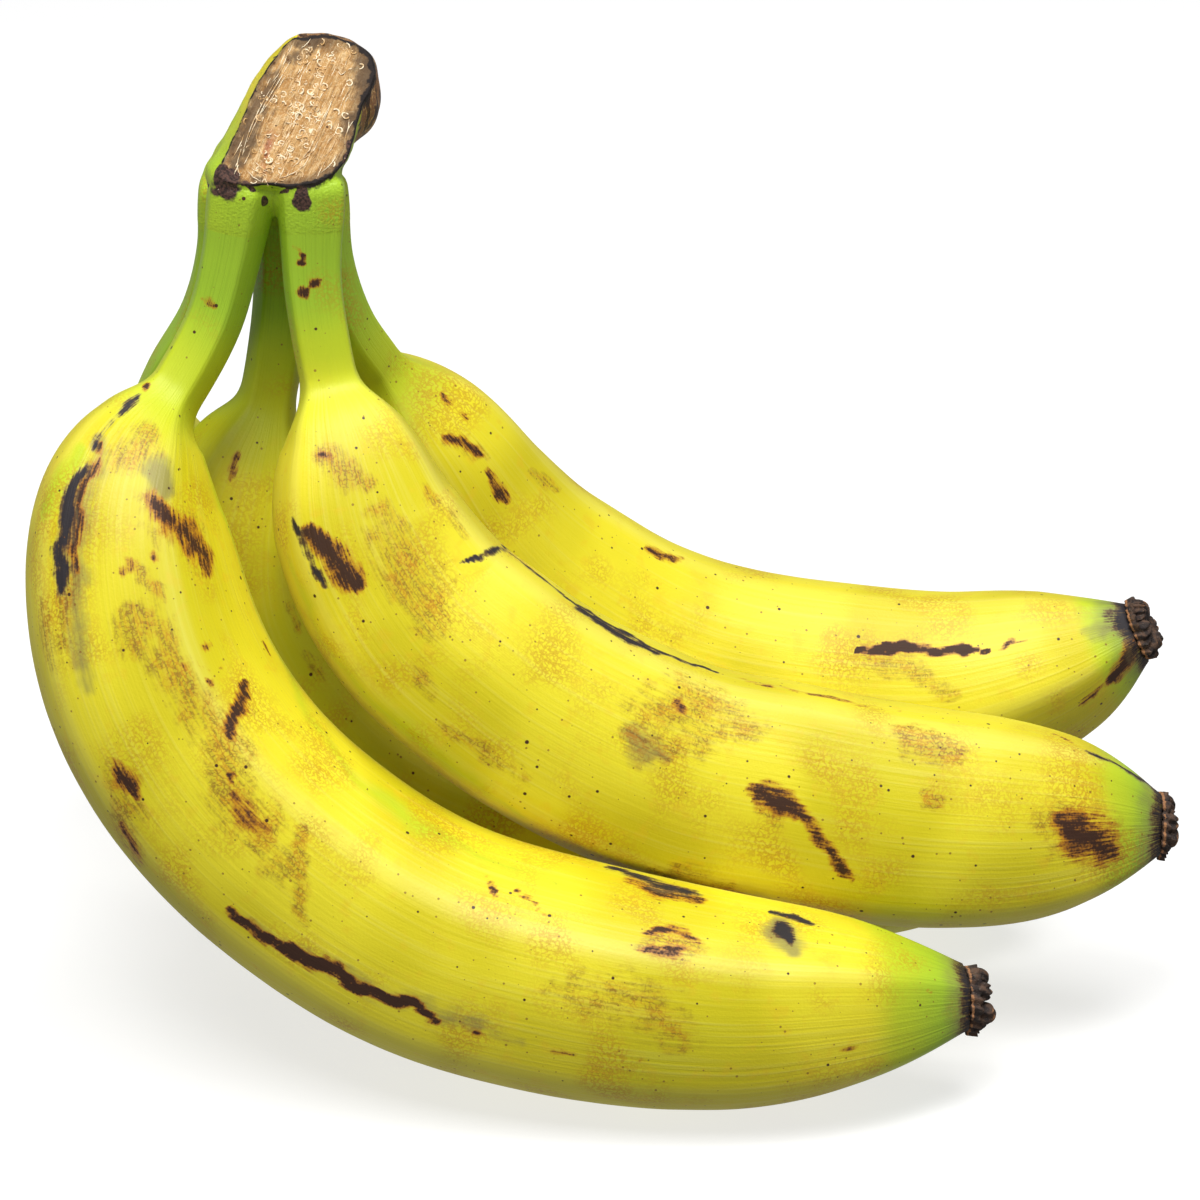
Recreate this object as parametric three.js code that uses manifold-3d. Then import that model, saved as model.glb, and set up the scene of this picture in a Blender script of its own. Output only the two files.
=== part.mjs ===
// A bunch of five bananas on the cut crown that they grew from, standing on its bellies.
// Millimetres, Z up. X runs along the bunch from the stalks to the blossom ends,
// and Y runs from the front row to the back row.

import * as THREE from 'three';
import { mergeVertices } from 'three/addons/utils/BufferGeometryUtils.js';
import Module from 'manifold-3d';

const wasm = await Module();
wasm.setup();

// Sizes shared by every banana
const bodyRadius = 19;
const stalkRadius = 4.5;
const stalkFlare = 0.8;
const flareLength = 9;
const blossomRadius = 5.3;
const shoulderLength = 14;
const shoulderPower = 0.85;
const taperPower = 1.1;
const bodyRidge = 0.42;
const stalkRidge = 0.8;
const blossomRidge = 0.75;
const budGap = 0.3;
const crownGap = 0.45;
const mergeDistance = 1e-4;

// How finely the skins are divided
const stepsPerFacet = 4;
const stalkStep = 6;
const shoulderStep = 3.2;
const bodyStep = 8;
const taperStep = 4;
const shoulderReach = 26;
const taperReach = 32;

// Each banana: its centre line from the crown to the blossom end, where its stalk ends,
// the length over which it tapers, its thickness against the others, and its ridges,
// in degrees round the centre line from the outer side of the bend towards the front.
const fingers = [
  {
    name: 'banana_front_outer',
    path: [
      [-59, -11, 137.5], [-61, -11.5, 126.5], [-64, -12.5, 116], [-68.5, -15.5, 107], [-72.5, -19.5, 100.5],
      [-76, -25.5, 90.5], [-76, -32, 76.5], [-72, -37.5, 63], [-62.5, -42.5, 48.5], [-48.5, -46.5, 36],
      [-30, -50.5, 25.5], [-8.5, -54.5, 20.5], [16.5, -57, 17.5], [37, -57, 17.5], [55, -54.5, 17],
    ],
    stalkLength: 40,
    taperLength: 22,
    flowerLength: 4.4,
    girth: 1.02,
    ridges: [45, 117, 189, 261, 333],
  },
  {
    name: 'banana_front_inner',
    path: [
      [-48, -11, 137.5], [-48, -12, 122.5], [-47, -13, 114], [-45.5, -14.5, 106], [-43.5, -17.5, 99],
      [-39.5, -21.5, 84], [-31, -25, 70.5], [-21.5, -27.5, 62.5], [-12, -28.5, 55.5], [9.5, -29, 44.5],
      [26.5, -29, 40.5], [44, -29, 37], [61, -29, 35.5], [75.5, -29, 35.5], [87.5, -28.5, 35],
    ],
    stalkLength: 37,
    taperLength: 13,
    flowerLength: 2.8,
    girth: 0.965,
    ridges: [48, 150, 212, 272, 338],
  },
  {
    name: 'banana_back_inner',
    path: [
      [-48.5, 0.5, 133.5], [-47, 1, 121], [-44, 3.5, 110], [-39, 8.5, 99.5], [-33.5, 13, 87.5],
      [-26, 18.5, 71], [-17.5, 22.5, 59], [-9, 24.5, 51.5], [2.5, 26, 43.5], [16, 26.5, 38],
      [35.5, 26.5, 34.5], [57, 26, 34], [76, 24, 40], [88.5, 23, 46],
    ],
    stalkLength: 39,
    taperLength: 16,
    flowerLength: 3.4,
    girth: 0.97,
    ridges: [38, 111, 185, 258, 328],
  },
  {
    name: 'banana_middle_outer',
    path: [
      [-54, 10, 132], [-54.5, 10.5, 113], [-56, 8.5, 103], [-58, 7, 94], [-60.5, 5.5, 86],
      [-63, 4, 74.5], [-63, 3.5, 60.5], [-56.5, 3.5, 45], [-46, 3, 31.5], [-29.5, 2, 21],
      [-9.5, 0.5, 16.5], [12.5, -1, 16.5], [34.5, -1.5, 16.5], [53, -1.5, 16.5], [68.5, -1.5, 18],
    ],
    stalkLength: 46,
    taperLength: 14,
    flowerLength: 3.6,
    girth: 0.88,
    ridges: [60, 132, 204, 276, 348],
  },
  {
    name: 'banana_back_outer',
    path: [
      [-61.5, 1.5, 133], [-63, 3.5, 122], [-66.5, 6.5, 109.5], [-73, 11, 97], [-77.5, 20, 83.5],
      [-78.5, 31, 66.5], [-75.5, 39.5, 49.5], [-67.5, 46, 34], [-54, 50, 23], [-36, 52, 17.5],
      [-14, 54, 17], [8, 55.5, 17], [31, 58, 17], [48, 59, 19], [58, 59.5, 22],
    ],
    stalkLength: 48,
    taperLength: 18,
    flowerLength: 4,
    girth: 0.96,
    ridges: [30, 102, 174, 246, 318],
  },
];

// The crown: sections from its underside to its top, as centre, half widths, height,
// and how far the front of the section is lifted and its back let down
const crownSections = [
  { x: -55, y: 0.5, z: 133.5, halfX: 8, halfY: 12, rise: 2.5 },
  { x: -55, y: 0, z: 136, halfX: 10.6, halfY: 16.5, rise: 3 },
  { x: -52.2, y: -1, z: 141.5, halfX: 10.4, halfY: 17, rise: 1.5 },
  { x: -49.8, y: -0.5, z: 147.5, halfX: 9.3, halfY: 15.5, rise: 0 },
  { x: -47.8, y: 0.5, z: 152.5, halfX: 8.3, halfY: 12.5, rise: 0 },
  { x: -47.2, y: 1.5, z: 155.3, halfX: 6.2, halfY: 9.5, rise: 0 },
  { x: -47.8, y: 2, z: 157, halfX: 3.5, halfY: 6, rise: 0 },
];
const crownSides = 20;
const crownSquareness = 3.2;
const cutLowPoint = new THREE.Vector3(-54, -15.5, 140);
const cutTilt = THREE.MathUtils.degToRad(50);
const cutTurn = THREE.MathUtils.degToRad(6);
const lobeCentre = new THREE.Vector3(-41.5, 3.5, 148.5);
const lobeRadii = new THREE.Vector3(4.2, 6, 7.5);
const lobeSides = 14;
const lobeRows = 10;
const cutterSize = 80;

// The dried flower on each blossom end: each ring's share of its length, and its radius
const budRings = [
  { out: 0, wide: 4.9 },
  { out: 0.25, wide: 5.5 },
  { out: 0.7, wide: 5.4 },
  { out: 1, wide: 4.2 },
  { out: 0.85, wide: 2.2 },
];
const budSides = 15;
const budLobes = 5;
const budLobeDepth = 0.09;

const skinColour = 0xefdc2f;
const crownColour = 0xc9985c;
const budColour = 0x43342c;
const skinRoughness = 0.45;
const crownRoughness = 0.85;
const budRoughness = 0.9;

function skinMaterial() {
  return new THREE.MeshStandardMaterial({ color: skinColour, roughness: skinRoughness, metalness: 0 });
}

function crownMaterial() {
  return new THREE.MeshStandardMaterial({ color: crownColour, roughness: crownRoughness, metalness: 0 });
}

function budMaterial() {
  return new THREE.MeshStandardMaterial({ color: budColour, roughness: budRoughness, metalness: 0 });
}

// Rings of points, joined one to the next and closed at both ends by a middle point
function loftGeometry(rings) {
  const sides = rings[0].length;
  const points = rings.flat();
  const indices = [];
  for (let ring = 0; ring + 1 < rings.length; ring += 1) {
    for (let side = 0; side < sides; side += 1) {
      const next = (side + 1) % sides;
      const low = ring * sides;
      const high = low + sides;
      indices.push(low + side, low + next, high + side);
      indices.push(low + next, high + next, high + side);
    }
  }
  const firstMiddle = points.length;
  points.push(middleOf(rings[0]));
  const lastMiddle = points.length;
  points.push(middleOf(rings[rings.length - 1]));
  const lastRing = (rings.length - 1) * sides;
  for (let side = 0; side < sides; side += 1) {
    const next = (side + 1) % sides;
    indices.push(firstMiddle, next, side);
    indices.push(lastMiddle, lastRing + side, lastRing + next);
  }
  const geometry = new THREE.BufferGeometry();
  geometry.setFromPoints(points);
  geometry.setIndex(indices);
  return geometry;
}

function middleOf(ring) {
  const middle = new THREE.Vector3();
  ring.forEach((point) => middle.add(point));
  return middle.divideScalar(ring.length);
}

function solidFrom(geometry) {
  const bare = geometry.clone();
  bare.deleteAttribute('normal');
  bare.deleteAttribute('uv');
  const merged = mergeVertices(bare, mergeDistance);
  return new wasm.Manifold(new wasm.Mesh({
    numProp: 3,
    vertProperties: new Float32Array(merged.attributes.position.array),
    triVerts: new Uint32Array(merged.index.array),
  }));
}

function geometryFrom(solid) {
  const mesh = solid.getMesh();
  const geometry = new THREE.BufferGeometry();
  geometry.setAttribute('position', new THREE.BufferAttribute(mesh.vertProperties, 3));
  geometry.setIndex(new THREE.BufferAttribute(mesh.triVerts, 1));
  geometry.computeVertexNormals();
  return geometry;
}

// Half the thickness at a distance from the crown: stalk, shoulder, body and taper
function radiusAt(finger, distance, length) {
  const pastStalk = Math.max(0, distance - finger.stalkLength);
  const toBlossom = Math.max(0, length - distance);
  const flare = stalkFlare * Math.exp(-((distance / flareLength) ** 2));
  const swelling = 1 - Math.exp(-((pastStalk / shoulderLength) ** shoulderPower));
  const full = stalkRadius + flare + (bodyRadius * finger.girth - stalkRadius) * swelling;
  const tapering = 1 - Math.exp(-((toBlossom / finger.taperLength) ** taperPower));
  return blossomRadius + (full - blossomRadius) * tapering;
}

// Ridges stand out most on the stalk and at the blossom end
function ridgeAt(finger, distance, length) {
  const pastStalk = Math.max(0, distance - finger.stalkLength);
  const toBlossom = Math.max(0, length - distance);
  const onStalk = Math.exp(-pastStalk / shoulderLength);
  const onBlossom = Math.exp(-toBlossom / finger.taperLength);
  return bodyRidge + (stalkRidge - bodyRidge) * onStalk + (blossomRidge - bodyRidge) * onBlossom;
}

// Distances from the crown at which the skin is divided, closer at the shoulder and the taper
function stationsAlong(finger, length) {
  const stations = [0];
  let distance = 0;
  while (distance < length - taperStep / 2) {
    const pastStalk = distance - finger.stalkLength;
    let step = bodyStep;
    if (pastStalk < -shoulderStep) step = stalkStep;
    else if (pastStalk < shoulderReach) step = shoulderStep;
    else if (length - distance < taperReach) step = taperStep;
    distance += step;
    stations.push(Math.min(distance, length));
  }
  stations[stations.length - 1] = length;
  return stations;
}

// Directions round the centre line, with how far out a flat facet would lie in each
function directionsRound(ridges) {
  const directions = [];
  ridges.forEach((ridge, index) => {
    const following = index + 1 < ridges.length ? ridges[index + 1] : ridges[0] + 360;
    const half = THREE.MathUtils.degToRad(following - ridge) / 2;
    for (let step = 0; step < stepsPerFacet; step += 1) {
      const across = (step / stepsPerFacet) * 2 - 1;
      const angle = THREE.MathUtils.degToRad(ridge) + half * (1 + across);
      directions.push({ angle, flat: Math.cos(half) / Math.cos(half * across) });
    }
  });
  const mean = directions.reduce((sum, direction) => sum + direction.flat, 0) / directions.length;
  return directions.map(({ angle, flat }) => ({ angle, flat: flat - mean }));
}

// The sideways direction of the whole bend, pointing to the front of the bunch
function bendNormal(curve) {
  const start = curve.getPointAt(0);
  const chord = curve.getPointAt(1).sub(start);
  const belly = curve.getPointAt(0.5).sub(start);
  return new THREE.Vector3().crossVectors(belly, chord).normalize();
}

function fingerFrame(curve, share, normal) {
  const centre = curve.getPointAt(share);
  const along = curve.getTangentAt(share);
  const outward = new THREE.Vector3().crossVectors(along, normal).normalize();
  const front = new THREE.Vector3().crossVectors(outward, along).normalize();
  return { centre, along, outward, front };
}

function fingerRing(finger, curve, length, distance, directions, normal) {
  const { centre, outward, front } = fingerFrame(curve, distance / length, normal);
  const radius = radiusAt(finger, distance, length);
  const ridge = ridgeAt(finger, distance, length);
  const ring = directions.map(({ angle, flat }) => {
    const reach = radius * (1 + ridge * flat);
    const point = centre.clone();
    point.addScaledVector(outward, reach * Math.cos(angle));
    point.addScaledVector(front, reach * Math.sin(angle));
    // The belly is pressed flat where it carries the bunch
    point.z = Math.max(point.z, 0);
    return point;
  });
  return ring.reverse();
}

function fingerCurve(finger) {
  const points = finger.path.map(([x, y, z]) => new THREE.Vector3(x, y, z));
  return new THREE.CatmullRomCurve3(points, false, 'centripetal');
}

function fingerGeometry(finger, crownSpace) {
  const curve = fingerCurve(finger);
  const length = curve.getLength();
  const normal = bendNormal(curve);
  const directions = directionsRound(finger.ridges);
  const rings = stationsAlong(finger, length).map((distance) => (
    fingerRing(finger, curve, length, distance, directions, normal)));
  return geometryFrom(solidFrom(loftGeometry(rings)).subtract(crownSpace));
}

// A lobed stub that follows the end of the centre line
function budGeometry(finger) {
  const curve = fingerCurve(finger);
  const { centre, along, outward, front } = fingerFrame(curve, 1, bendNormal(curve));
  const rings = budRings.map(({ out, wide }) => {
    const ring = [];
    for (let side = 0; side < budSides; side += 1) {
      const angle = (side / budSides) * 2 * Math.PI;
      const reach = wide * (1 + budLobeDepth * Math.cos(angle * budLobes));
      const point = centre.clone().addScaledVector(along, budGap + out * finger.flowerLength);
      point.addScaledVector(outward, reach * Math.cos(angle));
      point.addScaledVector(front, reach * Math.sin(angle));
      ring.push(point);
    }
    return ring.reverse();
  });
  return loftGeometry(rings);
}

function crownRing(section, grown) {
  const ring = [];
  for (let side = 0; side < crownSides; side += 1) {
    const angle = (side / crownSides) * 2 * Math.PI;
    const cos = Math.cos(angle);
    const sin = Math.sin(angle);
    const spread = (Math.abs(cos) ** crownSquareness + Math.abs(sin) ** crownSquareness)
      ** (-1 / crownSquareness);
    ring.push(new THREE.Vector3(
      section.x + (section.halfX + grown) * spread * cos,
      section.y + (section.halfY + grown) * spread * sin,
      section.z - section.rise * spread * sin,
    ));
  }
  return ring;
}

// Everything in front of the knife cut, as a block to take away
function knifeBlock() {
  const block = new THREE.BoxGeometry(cutterSize, cutterSize, cutterSize);
  block.translate(0, -cutterSize / 2, 0);
  block.rotateX(-cutTilt);
  block.rotateZ(cutTurn);
  block.translate(cutLowPoint.x, cutLowPoint.y, cutLowPoint.z);
  return solidFrom(block);
}

function crownSolid(grown) {
  const rings = crownSections.map((section, index) => {
    const ring = crownRing(section, grown);
    const last = crownSections.length - 1;
    const lift = (index === last ? grown : 0) - (index === 0 ? grown : 0);
    ring.forEach((point) => { point.z += lift; });
    return ring;
  });
  const lobe = new THREE.SphereGeometry(1, lobeSides, lobeRows);
  lobe.scale(lobeRadii.x + grown, lobeRadii.y + grown, lobeRadii.z + grown);
  lobe.translate(lobeCentre.x, lobeCentre.y, lobeCentre.z);
  return solidFrom(loftGeometry(rings)).add(solidFrom(lobe)).subtract(knifeBlock());
}

function namedMesh(name, geometry, material) {
  const mesh = new THREE.Mesh(geometry, material);
  mesh.name = name;
  return mesh;
}

const bunch = new THREE.Group();
bunch.add(namedMesh('crown', geometryFrom(crownSolid(0)), crownMaterial()));
const crownSpace = crownSolid(crownGap);
fingers.forEach((finger) => {
  bunch.add(namedMesh(finger.name, fingerGeometry(finger, crownSpace), skinMaterial()));
  bunch.add(namedMesh(finger.name.replace('banana', 'dried_flower'), budGeometry(finger), budMaterial()));
});

export default bunch;
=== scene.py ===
import math

import bpy
import numpy as np
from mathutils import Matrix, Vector, kdtree, noise


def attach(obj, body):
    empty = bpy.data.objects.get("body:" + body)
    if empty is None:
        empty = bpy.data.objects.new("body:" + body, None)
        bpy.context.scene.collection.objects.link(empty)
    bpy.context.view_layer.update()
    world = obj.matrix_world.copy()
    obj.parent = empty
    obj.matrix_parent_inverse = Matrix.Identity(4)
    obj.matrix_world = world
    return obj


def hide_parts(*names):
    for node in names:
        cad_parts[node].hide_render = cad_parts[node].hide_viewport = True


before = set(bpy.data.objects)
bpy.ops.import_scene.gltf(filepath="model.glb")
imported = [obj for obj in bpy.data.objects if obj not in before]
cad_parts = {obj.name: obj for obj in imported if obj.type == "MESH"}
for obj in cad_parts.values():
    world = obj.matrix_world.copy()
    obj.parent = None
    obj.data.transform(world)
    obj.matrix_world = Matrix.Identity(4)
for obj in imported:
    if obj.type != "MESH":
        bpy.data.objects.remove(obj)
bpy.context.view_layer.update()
print("frame loaded")

mm = 0.001

# How the bunch is seen, in millimetres, degrees and pixels of the 1200 x 1200 picture
pictureView = {
    "elevation": 24,
    "distance": 850,
    "pixelsPerMm": 6.1,
    "lookAt": (-2, -3.5, 63.6),
    "lookAtPixel": (604, 600),
    "side": 1200,
    "sensor": 36,
}

# Sizes that every banana shares, in millimetres, as its solid has them
bananaShape = {
    "Body Radius": 19.0,
    "Stalk Radius": 4.5,
    "Stalk Flare": 0.8,
    "Flare Length": 9.0,
    "Blossom Radius": 5.3,
    "Shoulder Length": 14.0,
    "Shoulder Power": 0.85,
    "Taper Power": 1.1,
    "Neck Softness": 5.0,
    "Body Ridge": 0.42,
    "Stalk Ridge": 0.8,
    "Blossom Ridge": 0.75,
    "Wobble": 0.3,
    "Wobble Size": 24.0,
    "Rings": 420,
    "Sides": 144,
}
ridgeRounding = 5  # degrees to each side over which a ridge is rounded

# Each banana's centre line, sizes and ridges, as its solid has them. A mark is what it is,
# its half width in millimetres, its strength, and the pixels of the picture that it runs through.
bananas = {
    "banana_front_outer": {
        "path": [
            (-59, -11, 137.5), (-61, -11.5, 126.5), (-64, -12.5, 116), (-69, -15.5, 107),
            (-74, -19.5, 100.5), (-77.3, -25.5, 90.5), (-76.4, -32, 76.5), (-72, -37.5, 63),
            (-62.5, -42.5, 48.5), (-48.5, -46.5, 36), (-30, -50.5, 25.5), (-8.5, -54.5, 20.5),
            (16.5, -57, 17.5), (37, -57, 17.5), (55, -54.5, 17),
        ],
        "stalk": 38, "taper": 22, "girth": 1.02, "flower": 4.4,
        "ridges": (45, 117, 189, 261, 333),
        "greenTip": 14, "greenTintAndPaintedShade": 0.1, "seed": 3,
        "marks": {
            "ridgeBruiseTop": ("bruise", 0.9, 0.9, [(140, 396), (126, 408), (112, 422), (97, 439),
                                                    (86, 462)]),
            "ridgeBruise": ("bruise", 2.4, 1, [(84, 466), (78, 478), (70, 500), (66, 525), (62, 550),
                                               (62, 575), (62, 592)]),
            "ridgeBruiseGlow": ("stain", 3.2, 0.8, [(88, 460), (78, 500), (70, 540), (64, 590), (60, 640)]),
            "greenByTheRidge": ("green", 5, 0.5, [(78, 452), (64, 474), (52, 495), (44, 512)]),
            "greenShoulder": ("green", 5.5, 0.4, [(218, 436), (228, 480), (240, 530), (258, 575)]),
            "greenInnerEdge": ("green", 5, 0.4, [(262, 580), (284, 660), (312, 722), (356, 778), (412, 822),
                                                    (480, 856), (560, 884)]),
            # painted shade: a grey-brown band beside the ridge bruise
            "shadeByTheRidge": ("smudgeAndPaintedShade", 3.6, 0.8, [(100, 440), (90, 480), (80, 530), (74, 590), (76, 640),
                                                     (90, 690)]),
            "orangeFlank": ("stain", 4, 0.75, [(46, 600), (50, 640), (50, 665)]),
            "shoulderStain": ("stain", 5.5, 0.95, [(147, 432), (138, 445), (129, 458), (127, 468)]),
            "shoulderSmudge": ("smudgeAndPaintedShade", 4.5, 1.3, [(147, 476), (156, 471), (164, 488)]),
            "broadScuff": ("scuff", 3.6, 0.92, [(151, 495), (164, 514), (174, 525), (193, 539), (206, 556),
                                               (208, 570)]),
            "broadScuffGlow": ("stain", 5.5, 1, [(151, 500), (174, 527), (193, 541), (208, 562)]),
            "ridgeBruiseBrown": ("scuff", 1.4, 1.1, [(98, 446), (88, 476), (80, 510), (76, 545), (74, 570)]),
            "smallScuff": ("scuff", 1.4, 0.95, [(131, 558), (126, 568), (122, 578)]),
            "orangeWisp": ("stain", 1.5, 1, [(136, 562), (147, 583), (158, 594), (167, 603)]),
            "smallSpot": ("scuff", 0.9, 0.9, [(154, 550), (158, 562)]),
            "orangeNetA": ("stain", 4, 1, [(132, 604), (156, 626), (170, 652)]),
            "orangeNetB": ("stain", 4.5, 1.1, [(150, 650), (168, 670), (190, 694)]),
            "orangeNetC": ("stain", 4, 0.9, [(120, 610), (132, 635), (142, 655)]),
            "orangeNetD": ("stain", 5, 0.9, [(180, 690), (200, 715), (222, 742)]),
            "brownCloudA": ("stain", 5.5, 1.2, [(232, 745), (224, 775), (230, 800), (243, 815)]),
            "brownCloudB": ("stain", 6, 1.2, [(238, 806), (252, 824), (268, 842)]),
            "brownCloudCore": ("scuff", 3, 0.62, [(236, 795), (244, 812), (262, 834)]),
            "brownCloudLines": ("scuff", 0.9, 1, [(232, 762), (229, 785), (231, 800)]),
            "brownCloudLow": ("stain", 5, 0.8, [(270, 845), (282, 862), (296, 876)]),
            "thinLine": ("scuff", 0.8, 1.1, [(207, 655), (211, 675), (215, 700)]),
            "thinLineLeft": ("scuff", 0.7, 1, [(185, 655), (183, 675)]),
            "edgeScuffs": ("scuff", 1.2, 0.9, [(122, 822), (130, 838), (138, 858)]),
            "spotA": ("scuff", 1.3, 1.2, [(203, 645), (211, 648)]),
            "spotB": ("scuff", 1.5, 0.95, [(199, 663), (198, 669)]),
            "spotC": ("scuff", 0.8, 0.8, [(216, 656), (218, 668)]),
            "spotD": ("scuff", 0.7, 0.8, [(262, 640), (270, 654)]),
            "leafSpot": ("scuff", 2.3, 1, [(246, 682), (240, 705), (230, 733)]),
            "leafSpotTail": ("stain", 4.5, 0.85, [(243, 690), (234, 740), (228, 790), (232, 835)]),
            "streak": ("stain", 2.2, 1.3, [(303, 824), (300, 870), (298, 900), (303, 926)]),
            "flankPatch": ("scuff", 2.4, 1, [(114, 764), (124, 780), (136, 800)]),
            "flankGlow": ("stain", 4.5, 0.9, [(112, 768), (124, 792), (128, 830), (136, 860)]),
            "lowerRidgeBruise": ("scuff", 1.5, 2, [(232, 912), (264, 935), (307, 959), (361, 986),
                                                    (441, 1020)]),
            "lowerRidgeSmudge": ("smudgeAndPaintedShade", 3, 0.7, [(240, 918), (307, 958), (400, 1000), (520, 1040)]),
            "lowerRidgeDotsA": ("scuff", 0.7, 0.8, [(470, 1031), (520, 1042)]),
            "lowerRidgeDotsB": ("scuff", 0.8, 0.8, [(545, 1049), (580, 1053)]),
            "lowerRidgeDotsC": ("scuff", 0.6, 0.75, [(640, 1058), (668, 1060)]),
            "lowerRidgeDotsD": ("scuff", 0.7, 0.8, [(835, 1053), (868, 1048)]),
            "scratchA": ("scuff", 0.8, 0.95, [(513, 889), (528, 903), (546, 921)]),
            "scratchB": ("scuff", 0.7, 0.9, [(479, 871), (488, 886), (495, 900)]),
            "bellyPatch": ("stain", 4, 1, [(640, 944), (665, 938), (700, 950)]),
            "bellyPatchCore": ("scuff", 1.4, 0.95, [(642, 934), (668, 930), (700, 938)]),
            "bellyPatchRow": ("scuff", 1.4, 0.95, [(640, 948), (664, 950), (690, 950)]),
            "faintBellyA": ("stain", 7, 0.85, [(615, 990), (650, 1010), (680, 1040)]),
            "faintBellyB": ("stain", 5, 0.7, [(560, 985), (600, 1000)]),
            "underTheInner": ("bruise", 2.6, 0.9, [(612, 868), (650, 881), (695, 895)]),
            "underTheInnerEdge": ("scuff", 4, 0.9, [(630, 880), (670, 893), (700, 902)]),
            "darkWedge": ("bruise", 1.3, 1.2, [(766, 911), (790, 916), (814, 926)]),
            "purpleSmudge": ("smudgeAndPaintedShade", 4.5, 1.3, [(776, 920), (788, 942), (796, 952)]),
            "purpleCore": ("bruise", 2.4, 1.05, [(780, 922), (790, 940)]),
            "stalkDash": ("scuff", 0.9, 1.4, [(204, 300), (212, 302), (218, 308)]),
            "stalkHook": ("scuff", 0.8, 1.3, [(144, 386), (148, 385), (150, 392)]),
            "tipScratch": ("scuff", 0.4, 0.9, [(920, 980), (923, 988), (936, 1001)]),
        },
    },
    "banana_front_inner": {
        "path": [
            (-48, -11, 137.5), (-48, -12, 122.5), (-47, -13, 114), (-45.5, -14.5, 106),
            (-43.5, -17.5, 99), (-39.5, -21.5, 84), (-31, -25, 70.5), (-21.5, -27.5, 62.5),
            (-12, -28.5, 55.5), (9.5, -29, 44.5), (26.5, -29, 40.5), (44, -29, 37),
            (61, -29, 35.5), (75.5, -29, 35.5), (87.5, -28.5, 35),
        ],
        "stalk": 34, "taper": 13, "girth": 0.965, "flower": 2.8,
        "ridges": (48, 150, 212, 272, 338),
        "greenTip": 9, "greenTintAndPaintedShade": 0.06, "seed": 11,
        "marks": {
            "neckStain": ("stain", 3.8, 1.2, [(318, 452), (335, 462), (350, 474), (364, 486)]),
            "neckDots": ("scuff", 1.0, 1, [(318, 452), (332, 458)]),
            "flankFaint": ("stain", 6.5, 0.8, [(375, 515), (410, 570), (440, 630)]),
            "lowerFaint": ("stain", 4, 0.9, [(655, 872), (690, 880), (745, 896)]),
            "leafScuff": ("scuff", 3.3, 1.1, [(306, 530), (322, 546), (340, 566), (358, 588)]),
            "leafScuffLine": ("bruise", 1.2, 1, [(293, 517), (300, 538), (310, 560), (322, 584)]),
            "sideWisp": ("stain", 2, 0.8, [(425, 488), (445, 512), (465, 540)]),
            "darkStreak": ("bruise", 1.1, 0.9, [(462, 564), (485, 556), (508, 548), (525, 541)]),
            "ridgeLine": ("bruise", 1.2, 1, [(500, 546), (540, 577), (576, 604), (612, 626), (660, 652),
                                             (716, 672)]),
            "ridgeLineThick": ("bruise", 2.4, 1, [(578, 608), (613, 631), (655, 652)]),
            "ridgeDotsA": ("scuff", 0.9, 0.8, [(724, 674), (757, 683), (800, 692), (850, 702), (900, 712)]),
            "greenLowerFlank": ("green", 7, 0.34, [(290, 560), (320, 640), (370, 700), (440, 760),
                                                   (520, 815)]),
            "orangePatchA": ("stain", 7, 0.8, [(632, 708), (680, 704), (718, 712), (750, 726)]),
            "orangePatchB": ("stain", 5.5, 0.75, [(625, 735), (660, 746), (705, 750)]),
            "orangePatchDots": ("scuff", 1.5, 0.9, [(674, 705), (688, 711)]),
            "orangePatchShade": ("smudgeAndPaintedShade", 4.5, 1, [(628, 736), (645, 748), (660, 754)]),
            "darkCluster": ("scuff", 2.8, 1.15, [(750, 790), (775, 796), (800, 812)]),
            "darkClusterDots": ("scuff", 1.6, 1.1, [(757, 789), (762, 790)]),
            "darkClusterSpecks": ("stain", 3, 1, [(752, 806), (775, 816), (790, 812)]),
            "darkClusterTail": ("scuff", 1.8, 1.15, [(798, 812), (812, 830), (832, 854), (850, 880)]),
            "farOrange": ("stain", 4.5, 1.2, [(900, 733), (930, 745), (958, 752)]),
            "farSpot": ("stain", 2.4, 1.4, [(922, 798), (934, 800), (942, 806)]),
            "tipPatch": ("scuff", 5.2, 1, [(1062, 826), (1084, 836), (1112, 848)]),
            "tipPatchGlow": ("stain", 8, 1.1, [(1052, 820), (1085, 838), (1115, 850)]),
            "tipRidge": ("bruise", 1.5, 1, [(1085, 751), (1106, 758), (1125, 770), (1150, 784), (1166, 796)]),
            "farRidgeDots": ("scuff", 0.7, 0.8, [(1048, 732), (1068, 743)]),
            "flankStain": ("stain", 2, 0.8, [(420, 662), (428, 684), (434, 704)]),
            "flankDots": ("stain", 2.2, 0.75, [(440, 722), (480, 748), (530, 782)]),
            "tickA": ("scuff", 0.8, 1.4, [(297, 248), (304, 246)]),
            "tickB": ("scuff", 0.8, 1.4, [(300, 254), (305, 252)]),
            "tickC": ("scuff", 0.8, 1.4, [(298, 265), (304, 262)]),
            "stalkSpotA": ("scuff", 1.3, 1.4, [(309, 283), (317, 278)]),
            "stalkSpotB": ("scuff", 1.1, 1.3, [(304, 288), (306, 298)]),
            "lowerEdge": ("bruise", 1.0, 0.8, [(985, 930), (1040, 922), (1084, 904), (1125, 884)]),
        },
    },
    "banana_back_inner": {
        "path": [
            (-48.5, 0.5, 133.5), (-47, 1, 121), (-44, 3.5, 110), (-39, 8.5, 99.5), (-33.5, 13, 87.5),
            (-26, 18.5, 71), (-17.5, 22.5, 59), (-9, 24.5, 51.5), (2.5, 26, 43.5), (16, 26.5, 38),
            (35.5, 26.5, 34.5), (57, 26, 34), (76, 24, 40), (88.5, 23, 46),
        ],
        "stalk": 39, "taper": 16, "girth": 0.97, "flower": 3.4,
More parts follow.
